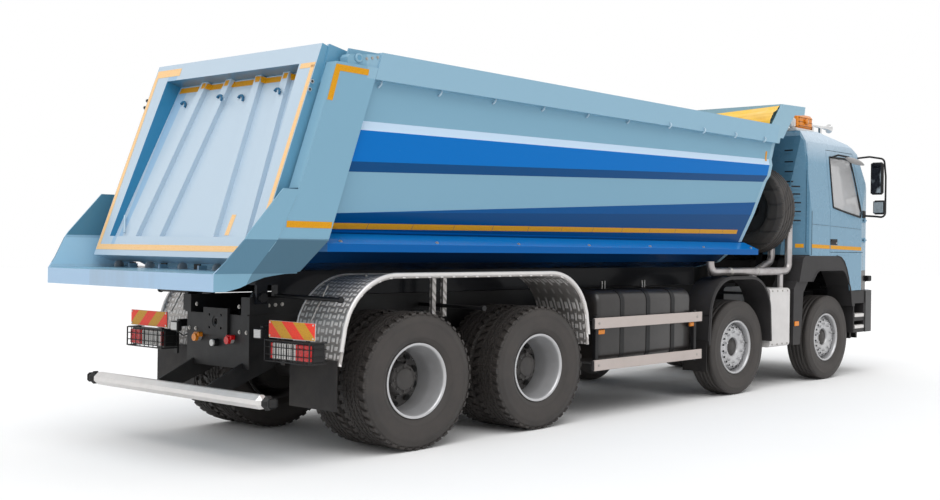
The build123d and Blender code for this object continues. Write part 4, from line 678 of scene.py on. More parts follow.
def glazing(name, tone, clear):
    """Tinted glass with a faint film of dust."""
    net = Net(name)
    film = net.noise(4.0, 5.0)
    colour = net.mix(film, tone, darker(tone, 0.8))
    return net.finish(Base_Color=colour, Roughness=film * 0.05 + 0.03, Alpha=film * 0.08 + clear,
                      Coat_Weight=0.5, Normal=net.bump(net.noise(1.2, 1.0), 0.002, 0.1))


glass = glazing("glass", rgb(0.66, 0.66, 0.67), 0.64)
screen_glass = glazing("screen_glass", rgb(0.24, 0.26, 0.28), 0.5)
print("materials ready")

# %% [markdown]
# ## Tyres
# A steered tyre is one turned profile, with four grooves cut into its tread as steps of the profile.
# A driven tyre starts the same way, but its tread is built of separate blocks, laid out by turn and by row.

# %% Tyres
FRONT_R, REAR_R = 0.525, 0.545
GROOVE = 0.013
TWIN = 0.17


def carcass(outer, tread):
    """Bead, side wall with its raised rings, shoulder; the tread's own steps come in between."""
    half = [(0.288, 0.108), (0.304, 0.117), (0.318, 0.131), (0.322, 0.134), (0.340, 0.143), (0.345, 0.1465),
            (0.352, 0.1475), (outer - 0.150, 0.1535), (outer - 0.118, 0.1545), (outer - 0.084, 0.1540),
            (outer - 0.080, 0.1550), (outer - 0.066, 0.1545), (outer - 0.060, 0.1520),
            (outer - 0.034, 0.1485), (outer - 0.014, 0.1420)]
    return half + tread + [(r, -out) for r, out in reversed(half)]


def ribbed_tread(outer):
    """Five ribs between four grooves."""
    steps = [(outer - 0.004, 0.134), (outer - 0.001, 0.118)]
    for middle in (0.076, 0.026, -0.026, -0.076):
        steps += [(outer, middle + 0.008), (outer - GROOVE, middle + 0.0055),
                  (outer - GROOVE, middle - 0.0055), (outer, middle - 0.008)]
    return steps + [(outer - 0.001, -0.118), (outer - 0.004, -0.134)]


def tread_net(name):
    """Rubber with fine cuts across its ribs, counted round the wheel; the cuts are darkened as painted shade.
    """
    net = Net(name)
    x, y, z = net.place()
    radius = (x * x + z * z) ** 0.5
    turn = net.node("Math", {"operation": "ARCTAN2"}, [z, x])
    cut = abs((turn * 25.0 + net.noise(3.0, 1.0) * 0.3).fraction() - 0.5).ramp(0.0, 0.12)
    ring = abs((turn * 60.0).fraction() - 0.5)
    on_tread = radius > 0.505
    on_shoulder = (radius > 0.47) * (radius < 0.505)
    cloud = net.noise(4.0, 6.0, 0.65)
    tone = net.mix(cloud.ramp(0.35, 0.7), rgb(0.030, 0.026, 0.024), rgb(0.050, 0.043, 0.039))
    # Painted shade: the cuts across the tread are darkened.
    tone = net.mix((1 - cut) * on_tread, tone, rgb(0.012, 0.011, 0.011))
    worn = (radius > 0.36) * (radius < 0.45)
    tone = net.mix(worn * cloud * 0.4, tone, rgb(0.060, 0.050, 0.045))
    rings = abs((radius * 110).fraction() - 0.5) * (radius < 0.35) * 0.3
    height = cut * on_tread * 1.0 + ring * on_shoulder * 0.5 + rings + net.noise(60.0, 4.0) * 0.15
    return net.finish(Base_Color=tone, Roughness=cloud * 0.2 + 0.5, Normal=net.bump(height, 0.004, 0.6))


tread_rubber = tread_net("tread_rubber")


def twin(shape, shift):
    """A profile moved along the axle."""
    return [(r, out + shift) for r, out in shape]


def blocks(mesh, outer, shift, pitches=44):
    """Shoulder lugs and two staggered rows of middle blocks."""
    low, high = outer - 0.022, outer - 0.0005

    def block(at, width, side, near, far, skew=0.0, drop=0.0):
        out_low, out_high = sorted((side * near, side * far))
        rear, front = at - width, at + width
        corners = ((rear, out_low), (front, out_low), (front, out_high), (rear, out_high))
        pts = []
        for radius, shrink in ((low, 0.0), (high - drop, 0.0035)):
            for turn, out_ in corners:
                lean = skew * (out_ - (out_low + out_high) / 2)
                inward = shrink / radius * (1 if turn < at else -1)
                edge = shrink * (1 if out_ == out_low else -1)
                angle = turn + inward + lean
                pts.append((radius * math.cos(angle), out_ + edge + shift, radius * math.sin(angle)))
        mesh.add(pts, [(3, 2, 1, 0), (4, 5, 6, 7), (0, 1, 5, 4), (1, 2, 6, 5), (2, 3, 7, 6), (3, 0, 4, 7)])

    step = 2 * math.pi / pitches
    for k in range(pitches):
        at = k * step
        for side in (-1, 1):
            block(at + side * step * 0.25, step * 0.31, side, 0.088, 0.149, 0.6 * side, 0.004)
            for part in (-1, 1):
                shifted = part * step * 0.215
                block(at + step * (0.5 + side * 0.25) + shifted, step * 0.195, side, 0.048, 0.083, 3.0 * side)
                block(at + step * side * 0.25 + shifted, step * 0.195, side, 0.004, 0.043, -3.0 * side)


def wheel_object(mesh, name, at, side, body, replaces):
    """A piece built round its own axle, then set on the vehicle; the left side faces the other way."""
    obj = link(name, mesh)
    turn = Matrix.Rotation(math.pi, 4, "Z") if side > 0 else Matrix.Identity(4)
    obj.matrix_world = Matrix.Translation(at) @ turn
    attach(obj, body)
    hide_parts(replaces)


steer_tyre = Mesh(tread_rubber)
steer_tyre.turned(carcass(FRONT_R, ribbed_tread(FRONT_R)), (0, 0, 0), (0, 1, 0), 120)
drive_tyre = Mesh(tread_rubber)
flat_tread = [(REAR_R - 0.020, 0.120), (REAR_R - 0.020, -0.120)]
for shift in (-TWIN, TWIN):
    drive_tyre.turned(twin(carcass(REAR_R - 0.004, flat_tread), shift), (0, 0, 0), (0, 1, 0), 96)
    blocks(drive_tyre, REAR_R, shift)
print("tyre faces", len(steer_tyre.faces), len(drive_tyre.faces))

# %% [markdown]
# ## Rims
# The steered wheel's disc bulges outwards and shows a ring of nuts and small holes round a dark hub.
# The driven wheel is its mirror image: a deep silver barrel, with its dark disc and hub far inside.

# %% Rims
def sector_holes(mesh, count, inner, outer, place_r, hole_r, height, mat, dark, parts=20, long=1.0):
    """A disc ring with round or oval holes; height gives the place along the axle at a radius. Each hole ends
    in a near-black cap, painted shade.
    """
    half = math.pi / count
    for k in range(count):
        middle = (k + 0.5) * 2 * half
        rim, hole, deep = [], [], []
        for du, dv in circle(1.0, parts):
            u_limit = half * place_r
            v_limit = outer - place_r if dv > 0 else place_r - inner
            t = min(u_limit / abs(du) if abs(du) > 1e-6 else 9, v_limit / abs(dv) if abs(dv) > 1e-6 else 9)
            bore = (du * hole_r * long, dv * hole_r)
            for (u, v), into, push in (((du * t, dv * t), rim, 0), (bore, hole, 0), (bore, deep, HOLE_DEPTH)):
                radius = place_r + v
                angle = middle + u / place_r
                into.append((radius * math.cos(angle), height(radius) - push, radius * math.sin(angle)))
        mesh.loft([rim, hole], mat, ends=False)
        mesh.loft([hole, deep], mat, ends=False)
        # The deep end of each hole is capped in near-black: painted shade.
        mesh.add(deep, [tuple(range(parts))], dark)


rim_dark = plain("rim_dark", rgb(0.040, 0.038, 0.038), 0.45, grain=70.0, coat=0.1,
                 second=rgb(0.065, 0.06, 0.058))
hole_shade = plain("hole_shade", rgb(0.006, 0.006, 0.006), 0.7, dust=0.0)
HOLE_DEPTH = 0.02
OUT = -1


def spin(mesh, profile, steps, mat=0):
    """A profile turned about the axle; its places along the axle count outwards from the wheel's middle."""
    mesh.turned([(r, OUT * out_) for r, out_ in profile], (0, 0, 0), steps=steps, mat=mat)


def ring_of(count, radius, turn=0.0):
    """Places evenly round the axle, as (x, z) pairs."""
    turns = [(k + turn) * 2 * math.pi / count for k in range(count)]
    return [(radius * math.cos(a), radius * math.sin(a)) for a in turns]


steer_rim = Mesh(silver, rim_dark, hole_shade)
spin(steer_rim, [(0.2700, -0.02), (0.2690, 0.020), (0.2720, 0.070), (0.2735, 0.100), (0.2800, 0.1225),
                 (0.2880, 0.1238), (0.2985, 0.1215), (0.2985, 0.1125), (0.2850, 0.1100),
                 (0.2850, -0.1235), (0.2740, -0.1235), (0.2700, -0.02)], 96)


def front_height(radius):
    """The disc bulges from the barrel to a flat ring where the nuts sit."""
    share = min(max((0.266 - radius) / 0.052, 0.0), 1.0)
    return OUT * (0.012 + 0.072 * math.sin(share * math.pi / 2) ** 0.8)


bulge = [(r, OUT * front_height(r)) for r in (0.270, 0.265, 0.260, 0.253, 0.246, 0.2385)]
spin(steer_rim, bulge, 96)
sector_holes(steer_rim, 20, 0.196, 0.2385, 0.218, 0.0115, front_height, 0, 2, parts=16)
spin(steer_rim, [(0.196, 0.084), (0.135, 0.084), (0.128, 0.080), (0.110, 0.079), (0.104, 0.074),
                 (0.100, 0.02)], 72)
spin(steer_rim, [(0.100, 0.020), (0.096, 0.0560), (0.060, 0.0600), (0.056, 0.0700), (0.0, 0.0720)], 48, 1)
for x, z in ring_of(10, 0.1675, 0.5):
    steer_rim.bolt((x, OUT * 0.084, z), (0, OUT, 0), 0.0165, 0.024, 0)
    steer_rim.rod((x, OUT * 0.1, z), (x, OUT * 0.116, z), 0.0105, 12, 0)
valve = [(0.232, OUT * 0.045, 0.03), (0.250, OUT * 0.075, 0.03), (0.264, OUT * 0.100, 0.028)]
steer_rim.tube(valve, 0.004, 8, 1)
spin(steer_rim, [(0.095, -0.115), (0.180, -0.115), (0.190, -0.105), (0.190, -0.045), (0.095, -0.045)], 48, 1)

drive_rim = Mesh(silver, rim_dark, hole_shade)
T = TWIN
spin(drive_rim, [(0.2985, T + 0.1235), (0.2985, T + 0.1125), (0.2850, T + 0.1100), (0.2850, T - 0.1235),
                 (0.2720, T - 0.1235), (0.2380, 0.016)], 96)
spin(drive_rim, [(0.2985, T + 0.1235), (0.2900, T + 0.1250), (0.2800, T + 0.1225), (0.2740, T + 0.104),
                 (0.2720, T + 0.085), (0.2660, T + 0.062), (0.2650, T + 0.020), (0.2560, T - 0.004),
                 (0.2520, 0.110), (0.2500, 0.070), (0.2440, 0.040), (0.2380, 0.016)], 96)


def rear_height(radius):
    """The driven disc is nearly flat."""
    share = min(max((0.238 - radius) / 0.04, 0.0), 1.0)
    return OUT * (0.016 - 0.006 * share)


sector_holes(drive_rim, 10, 0.166, 0.238, 0.203, 0.019, rear_height, 1, 2, parts=24, long=1.5)
spin(drive_rim, [(0.166, 0.0105), (0.166, 0.030), (0.150, 0.034), (0.138, 0.034), (0.134, 0.060),
                 (0.126, 0.080), (0.118, 0.124), (0.108, 0.130), (0.088, 0.132), (0.086, 0.146),
                 (0.078, 0.1495), (0.0, 0.1495)], 60, 1)
for x, z in ring_of(10, 0.1525, 0.5):
    drive_rim.bolt((x, OUT * 0.032, z), (0, OUT, 0), 0.0135, 0.026, 1)
for x, z in ring_of(8, 0.099):
    drive_rim.bolt((x, OUT * 0.131, z), (0, OUT, 0), 0.0095, 0.010, 1)
for x, z in ring_of(6, 0.112, 0.3):
    drive_rim.rod((x, OUT * 0.05, z), (x, OUT * 0.126, z), 0.016, 10, 1)
spin(drive_rim, [(0.2985, -T - 0.1235), (0.2985, -T - 0.1125), (0.2850, -T - 0.110), (0.2850, -T + 0.1235),
                 (0.2660, -T + 0.1235), (0.2300, -0.012)], 72)
spin(drive_rim, [(0.2985, -T - 0.1235), (0.2760, -T - 0.1225), (0.2700, -T - 0.05), (0.2660, -T + 0.1235),
                 (0.2300, -0.012), (0.150, -0.012), (0.150, -0.198), (0.0, -0.198)], 72, 1)

AXLES = {1: (3.450, 1.05, FRONT_R), 2: (1.415, 1.05, FRONT_R),
         3: (-1.780, 0.92, REAR_R), 4: (-3.150, 0.92, REAR_R)}
wheel_meshes = {"steer_tyre": steer_tyre.data("steer_tyre"), "drive_tyre": drive_tyre.data("drive_tyre"),
                "steer_rim": steer_rim.data("steer_rim"), "drive_rim": drive_rim.data("drive_rim")}
for number, (axle_x, half_track, radius) in AXLES.items():
    for side_name, side in (("right", -1), ("left", 1)):
        kind = "steer" if number < 3 else "drive"
        at = (axle_x, side * half_track, radius)
        body = f"wheel_{number}_{side_name}"
        for part in ("tyre", "rim"):
            piece = f"{part}_{number}_{side_name}"
            wheel_object(wheel_meshes[f"{kind}_{part}"], piece + "_look", at, side, body, piece)
print("wheels set", len(AXLES) * 4)

# %% [markdown]
# ## Dressing the construction pieces
# Large pieces keep the surfaces of the construction model and only get a material and softened edges.
# A table names the material of each; whatever isn't in it is rebuilt by hand further down.

# %% Materials of the large pieces
inside_grey = plain("inside_grey", rgb(0.10, 0.10, 0.105), 0.6, grain=200.0, dust=0.0)
hull_paint = paint("hull_paint", rgb(0.27, 0.46, 0.58), 0.3)
dark_frame = plain("dark_frame", rgb(0.011, 0.011, 0.012), 0.42, 0.0, 30.0, 0.0015, dust=0.15)
DRESS = {
    body_paint: ("tub",),
    hull_paint: ("headboard",),
    gate_paint: ("tailgate",),
    glass: ("door_glass_right", "door_glass_left"),
    screen_glass: ("windscreen",),
    dark_frame: ("frame", "subframe", "springs", "front_axles"),
    iron: ("rear_axles", "powertrain", "hoist_barrel"),
    chrome: ("hoist_stage_1", "hoist_stage_2", "hoist_stage_3", "hoist_stage_4", "air_horn"),
    black_plastic: ("grille", "battery_box"),
    arch_plastic: ("front_fenders",),
    white_lens: ("headlamps",),
    side_rubber: ("mud_flaps",),
    inside_grey: ("cab_interior",),
    tread_mat: ("rear_fenders",),
}


def wear(name, mat):
    """A construction piece takes one material."""
    nodes[name].data.materials.clear()
    nodes[name].data.materials.append(mat)


for mat, names in DRESS.items():
    for name in names:
        wear(name, mat)
for name in nodes:
    if name.startswith("knuckle"):
        wear(name, iron)
EDGES = {0.006: ("tub", "tailgate", "headboard"), 0.012: ("cab_shell", "bumper"),
         0.008: ("door_right", "door_left"), 0.004: ("frame", "battery_box", "grille")}
for width, names in EDGES.items():
    for name in names:
        round_edges(nodes[name], width)
print("dressed", sum(len(names) for names in DRESS.values()), "pieces")

# %% [markdown]
# ## Laying thin things on a surface
# Tape, bolts and hooks sit on sheet metal whose folds rise and slope.
# A straight line is sent towards the construction piece, and where it lands is where the tape goes.

# %% Touching a surface
trees = {}


def touch(node, start, direction):
    """The point and direction of a piece's surface that a straight line meets."""
    if node not in trees:
        mesh = nodes[node].data
        trees[node] = BVHTree.FromPolygons([v.co for v in mesh.vertices], [p.vertices for p in mesh.polygons])
    place, normal, _, _ = trees[node].ray_cast(Vector(start), Vector(direction))
    if place is None:
        return None, None
    if normal.dot(Vector(direction)) > 0:
        normal = -normal
    return place, normal


def trace(node, starts, direction):
    """Where a row of straight lines meets a piece."""
    spots = [touch(node, start, direction)[0] for start in starts]
    return [spot for spot in spots if spot]


def lay(mesh, node, first, second, direction, steps=12, lift=0.0012, mat=0):
    """A strip of tape between two lines, each a pair of end points, laid along a direction."""
    rows = []
    for k in range(steps + 1):
        share = k / steps
        row = []
        for line in (first, second):
            start = Vector(line[0]).lerp(Vector(line[1]), share)
            place, normal = touch(node, start, direction)
            row.append(place + normal * lift if place else None)
        rows.append(row)
    for (a, b), (c, d) in zip(rows, rows[1:]):
        if None not in (a, b, c, d):
            quad = [a, b, d, c]
            if (b - a).cross(c - a).dot(Vector(direction)) > 0:
                quad.reverse()
            mesh.add(quad, [(0, 1, 2, 3)], mat)


# %% [markdown]
# ## Reflective tape
# Amber tape outlines the body's side and the tailgate, as the rules for long vehicles ask.
# Along the side it is cut into lengths of 44 cm, with hairline gaps between them.

# %% Tape on the body and the tailgate
GATE_TILT = math.radians(18.2)
into_gate = Vector((math.cos(GATE_TILT), 0, -math.sin(GATE_TILT)))


def gate_point(y, z):
    """A starting point behind the tailgate, level with a place on its outer face."""
    return Vector((-3.995 + (z - 3.09) * math.tan(GATE_TILT), y, z)) - into_gate * 0.3


TAPE_REAR, TAPE_LONG, TAPE_RISE, TAPE_LENGTHS, TAPE_GAP = -3.965, 5.70, 0.068, 13, 0.0006
TAPE_TOP, TAPE_LOW = 1.772, 1.727
POST_TAPES = (
    (((-4.366, 1.774), (-3.992, 1.774)), ((-4.372, 1.727), (-3.998, 1.727)), 4),
    (((-3.976, 2.930), (-3.684, 2.926)), ((-3.992, 2.882), (-3.694, 2.879)), 4),
    (((-3.992, 2.882), (-4.052, 2.660)), ((-3.944, 2.882), (-4.006, 2.657)), 4),
    (((1.925, 2.640), (1.948, 2.755)), ((1.960, 2.640), (1.983, 2.755)), 3),
)
BESIDE = 1.5


def beside(side, line):
    """Starting points out beside the vehicle for a line given as (x, z) pairs."""
    return [(x, side * BESIDE, z) for x, z in line]


def lay_beside(mesh, node, side, first, second, steps, lift=0.0012, mat=0):
    """Tape between two (x, z) lines, laid on a piece from one side of the vehicle."""
    lay(mesh, node, beside(side, first), beside(side, second), (0, -side, 0), steps, lift, mat)


body_tape = Mesh(tape)
for side in (-1, 1):
    for k in range(TAPE_LENGTHS):
        shares = k / TAPE_LENGTHS, (k + 1) / TAPE_LENGTHS - TAPE_GAP
        top, low = ([(TAPE_REAR + TAPE_LONG * share, z + TAPE_RISE * share) for share in shares]
                    for z in (TAPE_TOP, TAPE_LOW))
        lay_beside(body_tape, "tub", side, top, low, 3)
    for first, second, steps in POST_TAPES:
        lay_beside(body_tape, "tub", side, first, second, steps)
body_tape.done("tape_body", "tipper")

gate_tape = Mesh(tape, tape_lit)
# The last number picks the tape: 1 is the paler copy for faces in light, painted light; 0 is the deeper amber
# tape, for the strip in shade under the recess's top edge.
border = [
    ((1.104, 2.985), (1.104, 1.547), (1.060, 2.985), (1.060, 1.590), 1),
    ((1.104, 1.547), (-1.100, 1.547), (1.060, 1.590), (-1.056, 1.590), 1),
    ((-1.100, 2.925), (-1.100, 1.547), (-1.056, 2.925), (-1.056, 1.590), 1),
    ((-0.925, 2.945), (-1.100, 2.945), (-0.925, 2.905), (-1.100, 2.905), 1),
    ((1.095, 3.048), (0.735, 3.048), (1.095, 2.985), (0.735, 2.985), 1),
    ((0.880, 2.938), (-0.880, 2.938), (0.880, 2.892), (-0.880, 2.892), 0),
    ((-0.572, 1.836), (-0.572, 1.680), (-0.625, 1.836), (-0.625, 1.680), 1),
]
for *ends, mat in border:
    first, last, third, fourth = (gate_point(*end) for end in ends)
    steps = max(4, int(math.dist(ends[0], ends[1]) * 40))
    lay(gate_tape, "tailgate", (first, last), (third, fourth), into_gate, steps, mat=mat)
gate_tape.done("tape_gate", "tailgate")
print("tape faces", len(body_tape.faces) + len(gate_tape.faces))

# %% [markdown]
# ## Small things on the body
# Crescent hooks for the tarpaulin's rope hang under the top rail, bolt heads stand on the ledge in two rows,
# and round claws under the tailgate hold it shut. Each is set out by a loop along or across the body.

# %% Hooks and bolts
pale_hook = plain("pale_hook", rgb(0.50, 0.66, 0.78), 0.3, dust=0.0)
claw_grey = plain("claw_grey", rgb(0.34, 0.37, 0.40), 0.4, dust=0.0)
body_trim = Mesh(light_paint, zinc, claw_grey, black_steel, pale_hook)
HOOKS, HOOK_PITCH = 10, 0.595
LEDGE_ROWS = ((1.690, -3.872, 1.06), (1.640, -3.858, 1.17))
WING_SEAMS = (((-4.535, 1.46), (-4.430, 1.653), (-4.285, 1.955)),
              ((-4.425, 1.650), (-4.210, 1.650), (-4.000, 1.650)))
GATE_PIN = (-3.775, 1.2385, 3.0)
CLAWS = (-0.93, -0.465, 0.0, 0.465, 0.93)
for side in (-1, 1):
    inward = (0, -side, 0)
    for k in range(HOOKS):
        for place in trace("tub", beside(side, [(-3.545 + HOOK_PITCH * k, 2.838 + 0.004 * k)]), inward):
            half_turn = circle(1.0, 16)[:9]
            path = [place + Vector((0.010 * u, side * (0.004 + 0.024 * v), 0.026 * u)) for u, v in half_turn]
            body_trim.tube(path, 0.0075, 8, 4)
    for z, first_x, out_ in LEDGE_ROWS:
        for k in range(7):
            place, normal = touch("tub", (first_x + 0.925 * k, side * out_, 2.0), (0, 0, -1))
            if place and abs(place.z - z) < 0.09:
                body_trim.bolt(place, normal, 0.011, 0.010, 1)
    pin = (GATE_PIN[0], side * GATE_PIN[1], GATE_PIN[2])
    body_trim.turned([(0.0, 0.0), (0.034, 0.0), (0.034, 0.010), (0.026, 0.014), (0.020, 0.014),
                      (0.018, 0.008), (0.0, 0.008)], pin, (0, side, 0), 28, 0)
    for seam in WING_SEAMS:
        line = [(xa + (xb - xa) * k / 4, za + (zb - za) * k / 4)
                for (xa, za), (xb, zb) in zip(seam, seam[1:]) for k in range(5)]
        spots = [spot for spot in trace("tub", beside(side, line), inward) if abs(spot.y) > 1.2]
        body_trim.tube(spots, 0.0030, 6, 0)
    for k in range(3):
        body_trim.bolt((-3.700 + 0.05 * k, side * 1.238, 3.005 + 0.012 * k), (0, side, 0), 0.008, 0.007, 1)
for claw_y in CLAWS:
    body_trim.turned([(0.0, 0.0), (0.034, 0.0), (0.036, 0.003), (0.036, 0.019), (0.034, 0.022), (0.0, 0.022)],
                     (-4.405, claw_y - 0.011, 1.424), (0, 1, 0), 20, 2)
    if claw_y > CLAWS[0]:
        body_trim.box((-4.380, claw_y - 0.190, 1.405), (-4.366, claw_y - 0.110, 1.450), 3, 0.002)
body_trim.done("trim_body", "tipper")

# The hooks' deep blue carries painted shade: they hang in the shadow under the recess's top edge.
hook_blue = plain("hook_blue", rgb(0.015, 0.14, 0.28), 0.35, dust=0.0)
gate_trim = Mesh(hook_blue, silver, pale_hook)
up_gate = Vector((math.sin(GATE_TILT), 0, math.cos(GATE_TILT)))
to_right = Vector((0, -1, 0))
GATE_HOOKS = ((0.735, False), (0.150, True), (-0.083, False), (-0.615, True))
HOOK_R = 0.042
for y, strap in GATE_HOOKS:
    for place in trace("tailgate", [gate_point(y, 2.785)], into_gate):
        centre = place - into_gate * 0.012 - up_gate * 0.020
        arc = [centre + to_right * (HOOK_R * math.cos(a)) + up_gate * (HOOK_R * math.sin(a))
               for a in [math.radians(140 - 22 * k) for k in range(8)]]
        gate_trim.tube([arc[0] + into_gate * 0.016, *arc], 0.0090, 8, 0)
        if strap:
            end = arc[5] + to_right * 0.055 - up_gate * 0.034
            gate_trim.tube([arc[5], arc[5] + to_right * 0.030 + up_gate * 0.004, end], 0.0028, 6, 2)
low, high = trace("tailgate", [gate_point(0.80, 1.69), gate_point(0.90, 1.83)], into_gate)
gate_trim.rod(low - into_gate * 0.02, high - into_gate * 0.02, 0.008, 10, 2)
for side in (-1, 1):
    for z in (2.795, 2.735):
        place = (-4.02 + (z - 3.0) * math.tan(GATE_TILT), side * 1.122, z)
        gate_trim.bolt(place, (0, side, 0), 0.011, 0.003, 1)
gate_trim.done("trim_gate", "tailgate")
print("body trim faces", len(body_trim.faces), "gate trim faces", len(gate_trim.faces))

# %% [markdown]
# ## Rear fenders
# Each fender is a sheet of tread plate bent over two wheels, with a rolled bead along its edges.
# A round stay bar runs under it, and slim rods tie the sheet to the frame.

# %% Fenders with beads and stays
FENDER_REAR, FENDER_LONG = -3.895, 2.735
DOWN = (0, 0, -1)
for side in (-1, 1):
    name = "right" if side < 0 else "left"
    beads = Mesh(bare, zinc)
    for y, radius in ((1.242, 0.018), (0.650, 0.008)):
        starts = [(FENDER_REAR + FENDER_LONG * (1 - k / 90), side * y, 1.8) for k in range(91)]
        line = [spot + Vector((0, side * 0.002, 0.002)) for spot in trace("rear_fenders", starts, DOWN)]
        beads.tube(line, radius, 10, 0)
    for x in (-1.420, -3.450):
        for y in (0.70, 0.95, 1.19):
            spot, out_ = touch("rear_fenders", (x, side * y, 1.8), DOWN)
            beads.bolt(spot, out_, 0.009, 0.007, 1)
    beads.done("fender_beads_" + name, "chassis")

stays = Mesh(black_steel, zinc)
for side in (-1, 1):
    for x in (-2.465, -3.890):
        z = 1.098 if x > -3 else 1.208
        stays.rod((x, side * 0.430, z), (x, side * 1.215, z - 0.004), 0.017, 14, 0)
        stays.rod((x, side * 1.215, z - 0.004), (x, side * 1.235, z - 0.004), 0.024, 14, 0)
    for x, foot in ((-3.800, -3.948), (-3.520, -3.698)):
        stays.rod((x, side * 0.95, 1.30), (foot, side * 0.95, 1.03), 0.005, 8, 1)
stays.done("fender_stays", "chassis")
print("fender beads and stays placed")

# %% [markdown]
# ## Tail lamps
# Each lamp is a long moulded lens in three parts: a red end, a wide white window and a red stop field.
# A cage of thin bars keeps stones and other vehicles off it.

# %% Lamps, cages and marker boards
def board_stripes(side):
    """Slanting bars of red and yellow reflective sheet, mirrored from side to side."""
    net = Net("marker_stripes")
    x, y, z = net.place()
    slant = (y * side + z * 1.15) / STRIPE_PITCH + 0.05
    bar = slant.fraction() > 0.5
    cells = net.cells(110.0)
    tone = net.mix(bar, rgb(0.66, 0.34, 0.004), rgb(0.98, 0.035, 0.010))
    tone = net.mix(cells.ramp(0.10, 0.0) * 0.5, tone, rgb(0.35, 0.05, 0.02))
    return net.finish(Base_Color=tone, Roughness=net.noise(20.0, 3.0) * 0.1 + 0.3, Coat_Weight=0.1,
                      Specular_IOR_Level=0.2, Normal=net.bump(cells, 0.0005, 0.4))


STRIPE_PITCH = 0.275
LAMP = {"in": 0.700, "out": 1.250, "low": 0.740, "top": 0.905, "rear": -4.165, "front": -4.020}
lamps = Mesh(black_plastic, red_lens, white_lens, black_steel)
boards = Mesh(board_stripes(1), board_stripes(-1), black_steel, bare)
for side in (-1, 1):
    lamps.side_box(side, (-4.130, LAMP["in"] + 0.030, 0.752),
                   (LAMP["front"], LAMP["out"] - 0.015, 0.893), 0, 0.010)
    for near, far, mat, more in ((0.742, 0.765, 1, 0.0), (0.769, 1.050, 2, 0.0), (1.054, 1.228, 1, 0.004)):
        lamps.side_box(side, (-4.143 - more, near, 0.764), (-4.128, far, 0.880), mat, 0.004)
    for k in range(9):
        y = 0.789 + 0.030 * k
        lamps.side_box(side, (-4.1455, y - 0.0016, 0.768), (-4.142, y + 0.0016, 0.876), 3)
    for z, thick in ((0.746, 0.006), (0.795, 0.0035), (0.850, 0.0035), (0.899, 0.006)):
        loop = ((LAMP["front"], 0.706), (-4.160, 0.706), (-4.160, 1.243), (LAMP["front"], 1.243))
        lamps.tube([(x, side * y, z) for x, y in loop], thick, 8, 3, 0.012)
    for k in range(9):
        y = side * (0.706 + 0.537 * k / 8)
        thick = 0.0035 if 0 < k < 8 else 0.006
        lamps.rod((-4.163, y, LAMP["low"] + 0.004), (-4.163, y, LAMP["top"] - 0.004), thick, 8, 3)
    lamps.side_box(side, (LAMP["front"] - 0.010, 0.710, 0.700), (LAMP["front"] + 0.006, 0.760, 0.905), 3)
    boards.side_box(side, (-4.128, LAMP["in"], 0.917), (-4.124, LAMP["out"], 1.040), 1 if side < 0 else 0)
    boards.side_box(side, (-4.124, LAMP["in"] + 0.002, 0.913), (-4.118, LAMP["out"] - 0.002, 1.042), 3)
    for y in (0.80, 1.15):
        boards.side_box(side, (-4.118, y - 0.015, 0.880), (-4.098, y + 0.015, 1.030), 2, 0.002)
    for y in (0.715, 1.235):
        for z in (0.930, 1.028):
            boards.bolt((-4.128, side * y, z), (-1, 0, 0), 0.005, 0.004, 3)
lamps.done("tail_lamps_dressed", "chassis", replaces=("tail_lamps",))
boards.done("marker_boards_dressed", "chassis", replaces=("marker_boards",))
print("lamps and boards built")

# %% [markdown]
# ## The underrun bar and what hangs at the rear
# An aluminium bar with round edges closes the rear below the lamps, capped with dark ends.
# Between the frame rails sit the drawbar plate, two work lamps and the couplings for a trailer's air lines.

# %% Rear bar, drawbar plate and air lines
rear_bar = Mesh(bare, black_plastic)
BAR_HALF = 1.145
rear_bar.box((-4.500, -BAR_HALF, 0.450), (-4.400, BAR_HALF, 0.550), 0, 0.034)
for side in (-1, 1):
    rear_bar.side_box(side, (-4.501, BAR_HALF, 0.449), (-4.399, 1.228, 0.551), 1, 0.036)
    rear_bar.side_box(side, (-4.488, 1.228, 0.462), (-4.412, 1.250, 0.538), 1, 0.016)
rear_bar.done("underrun_bar_dressed", "chassis", replaces=("underrun_bar",))

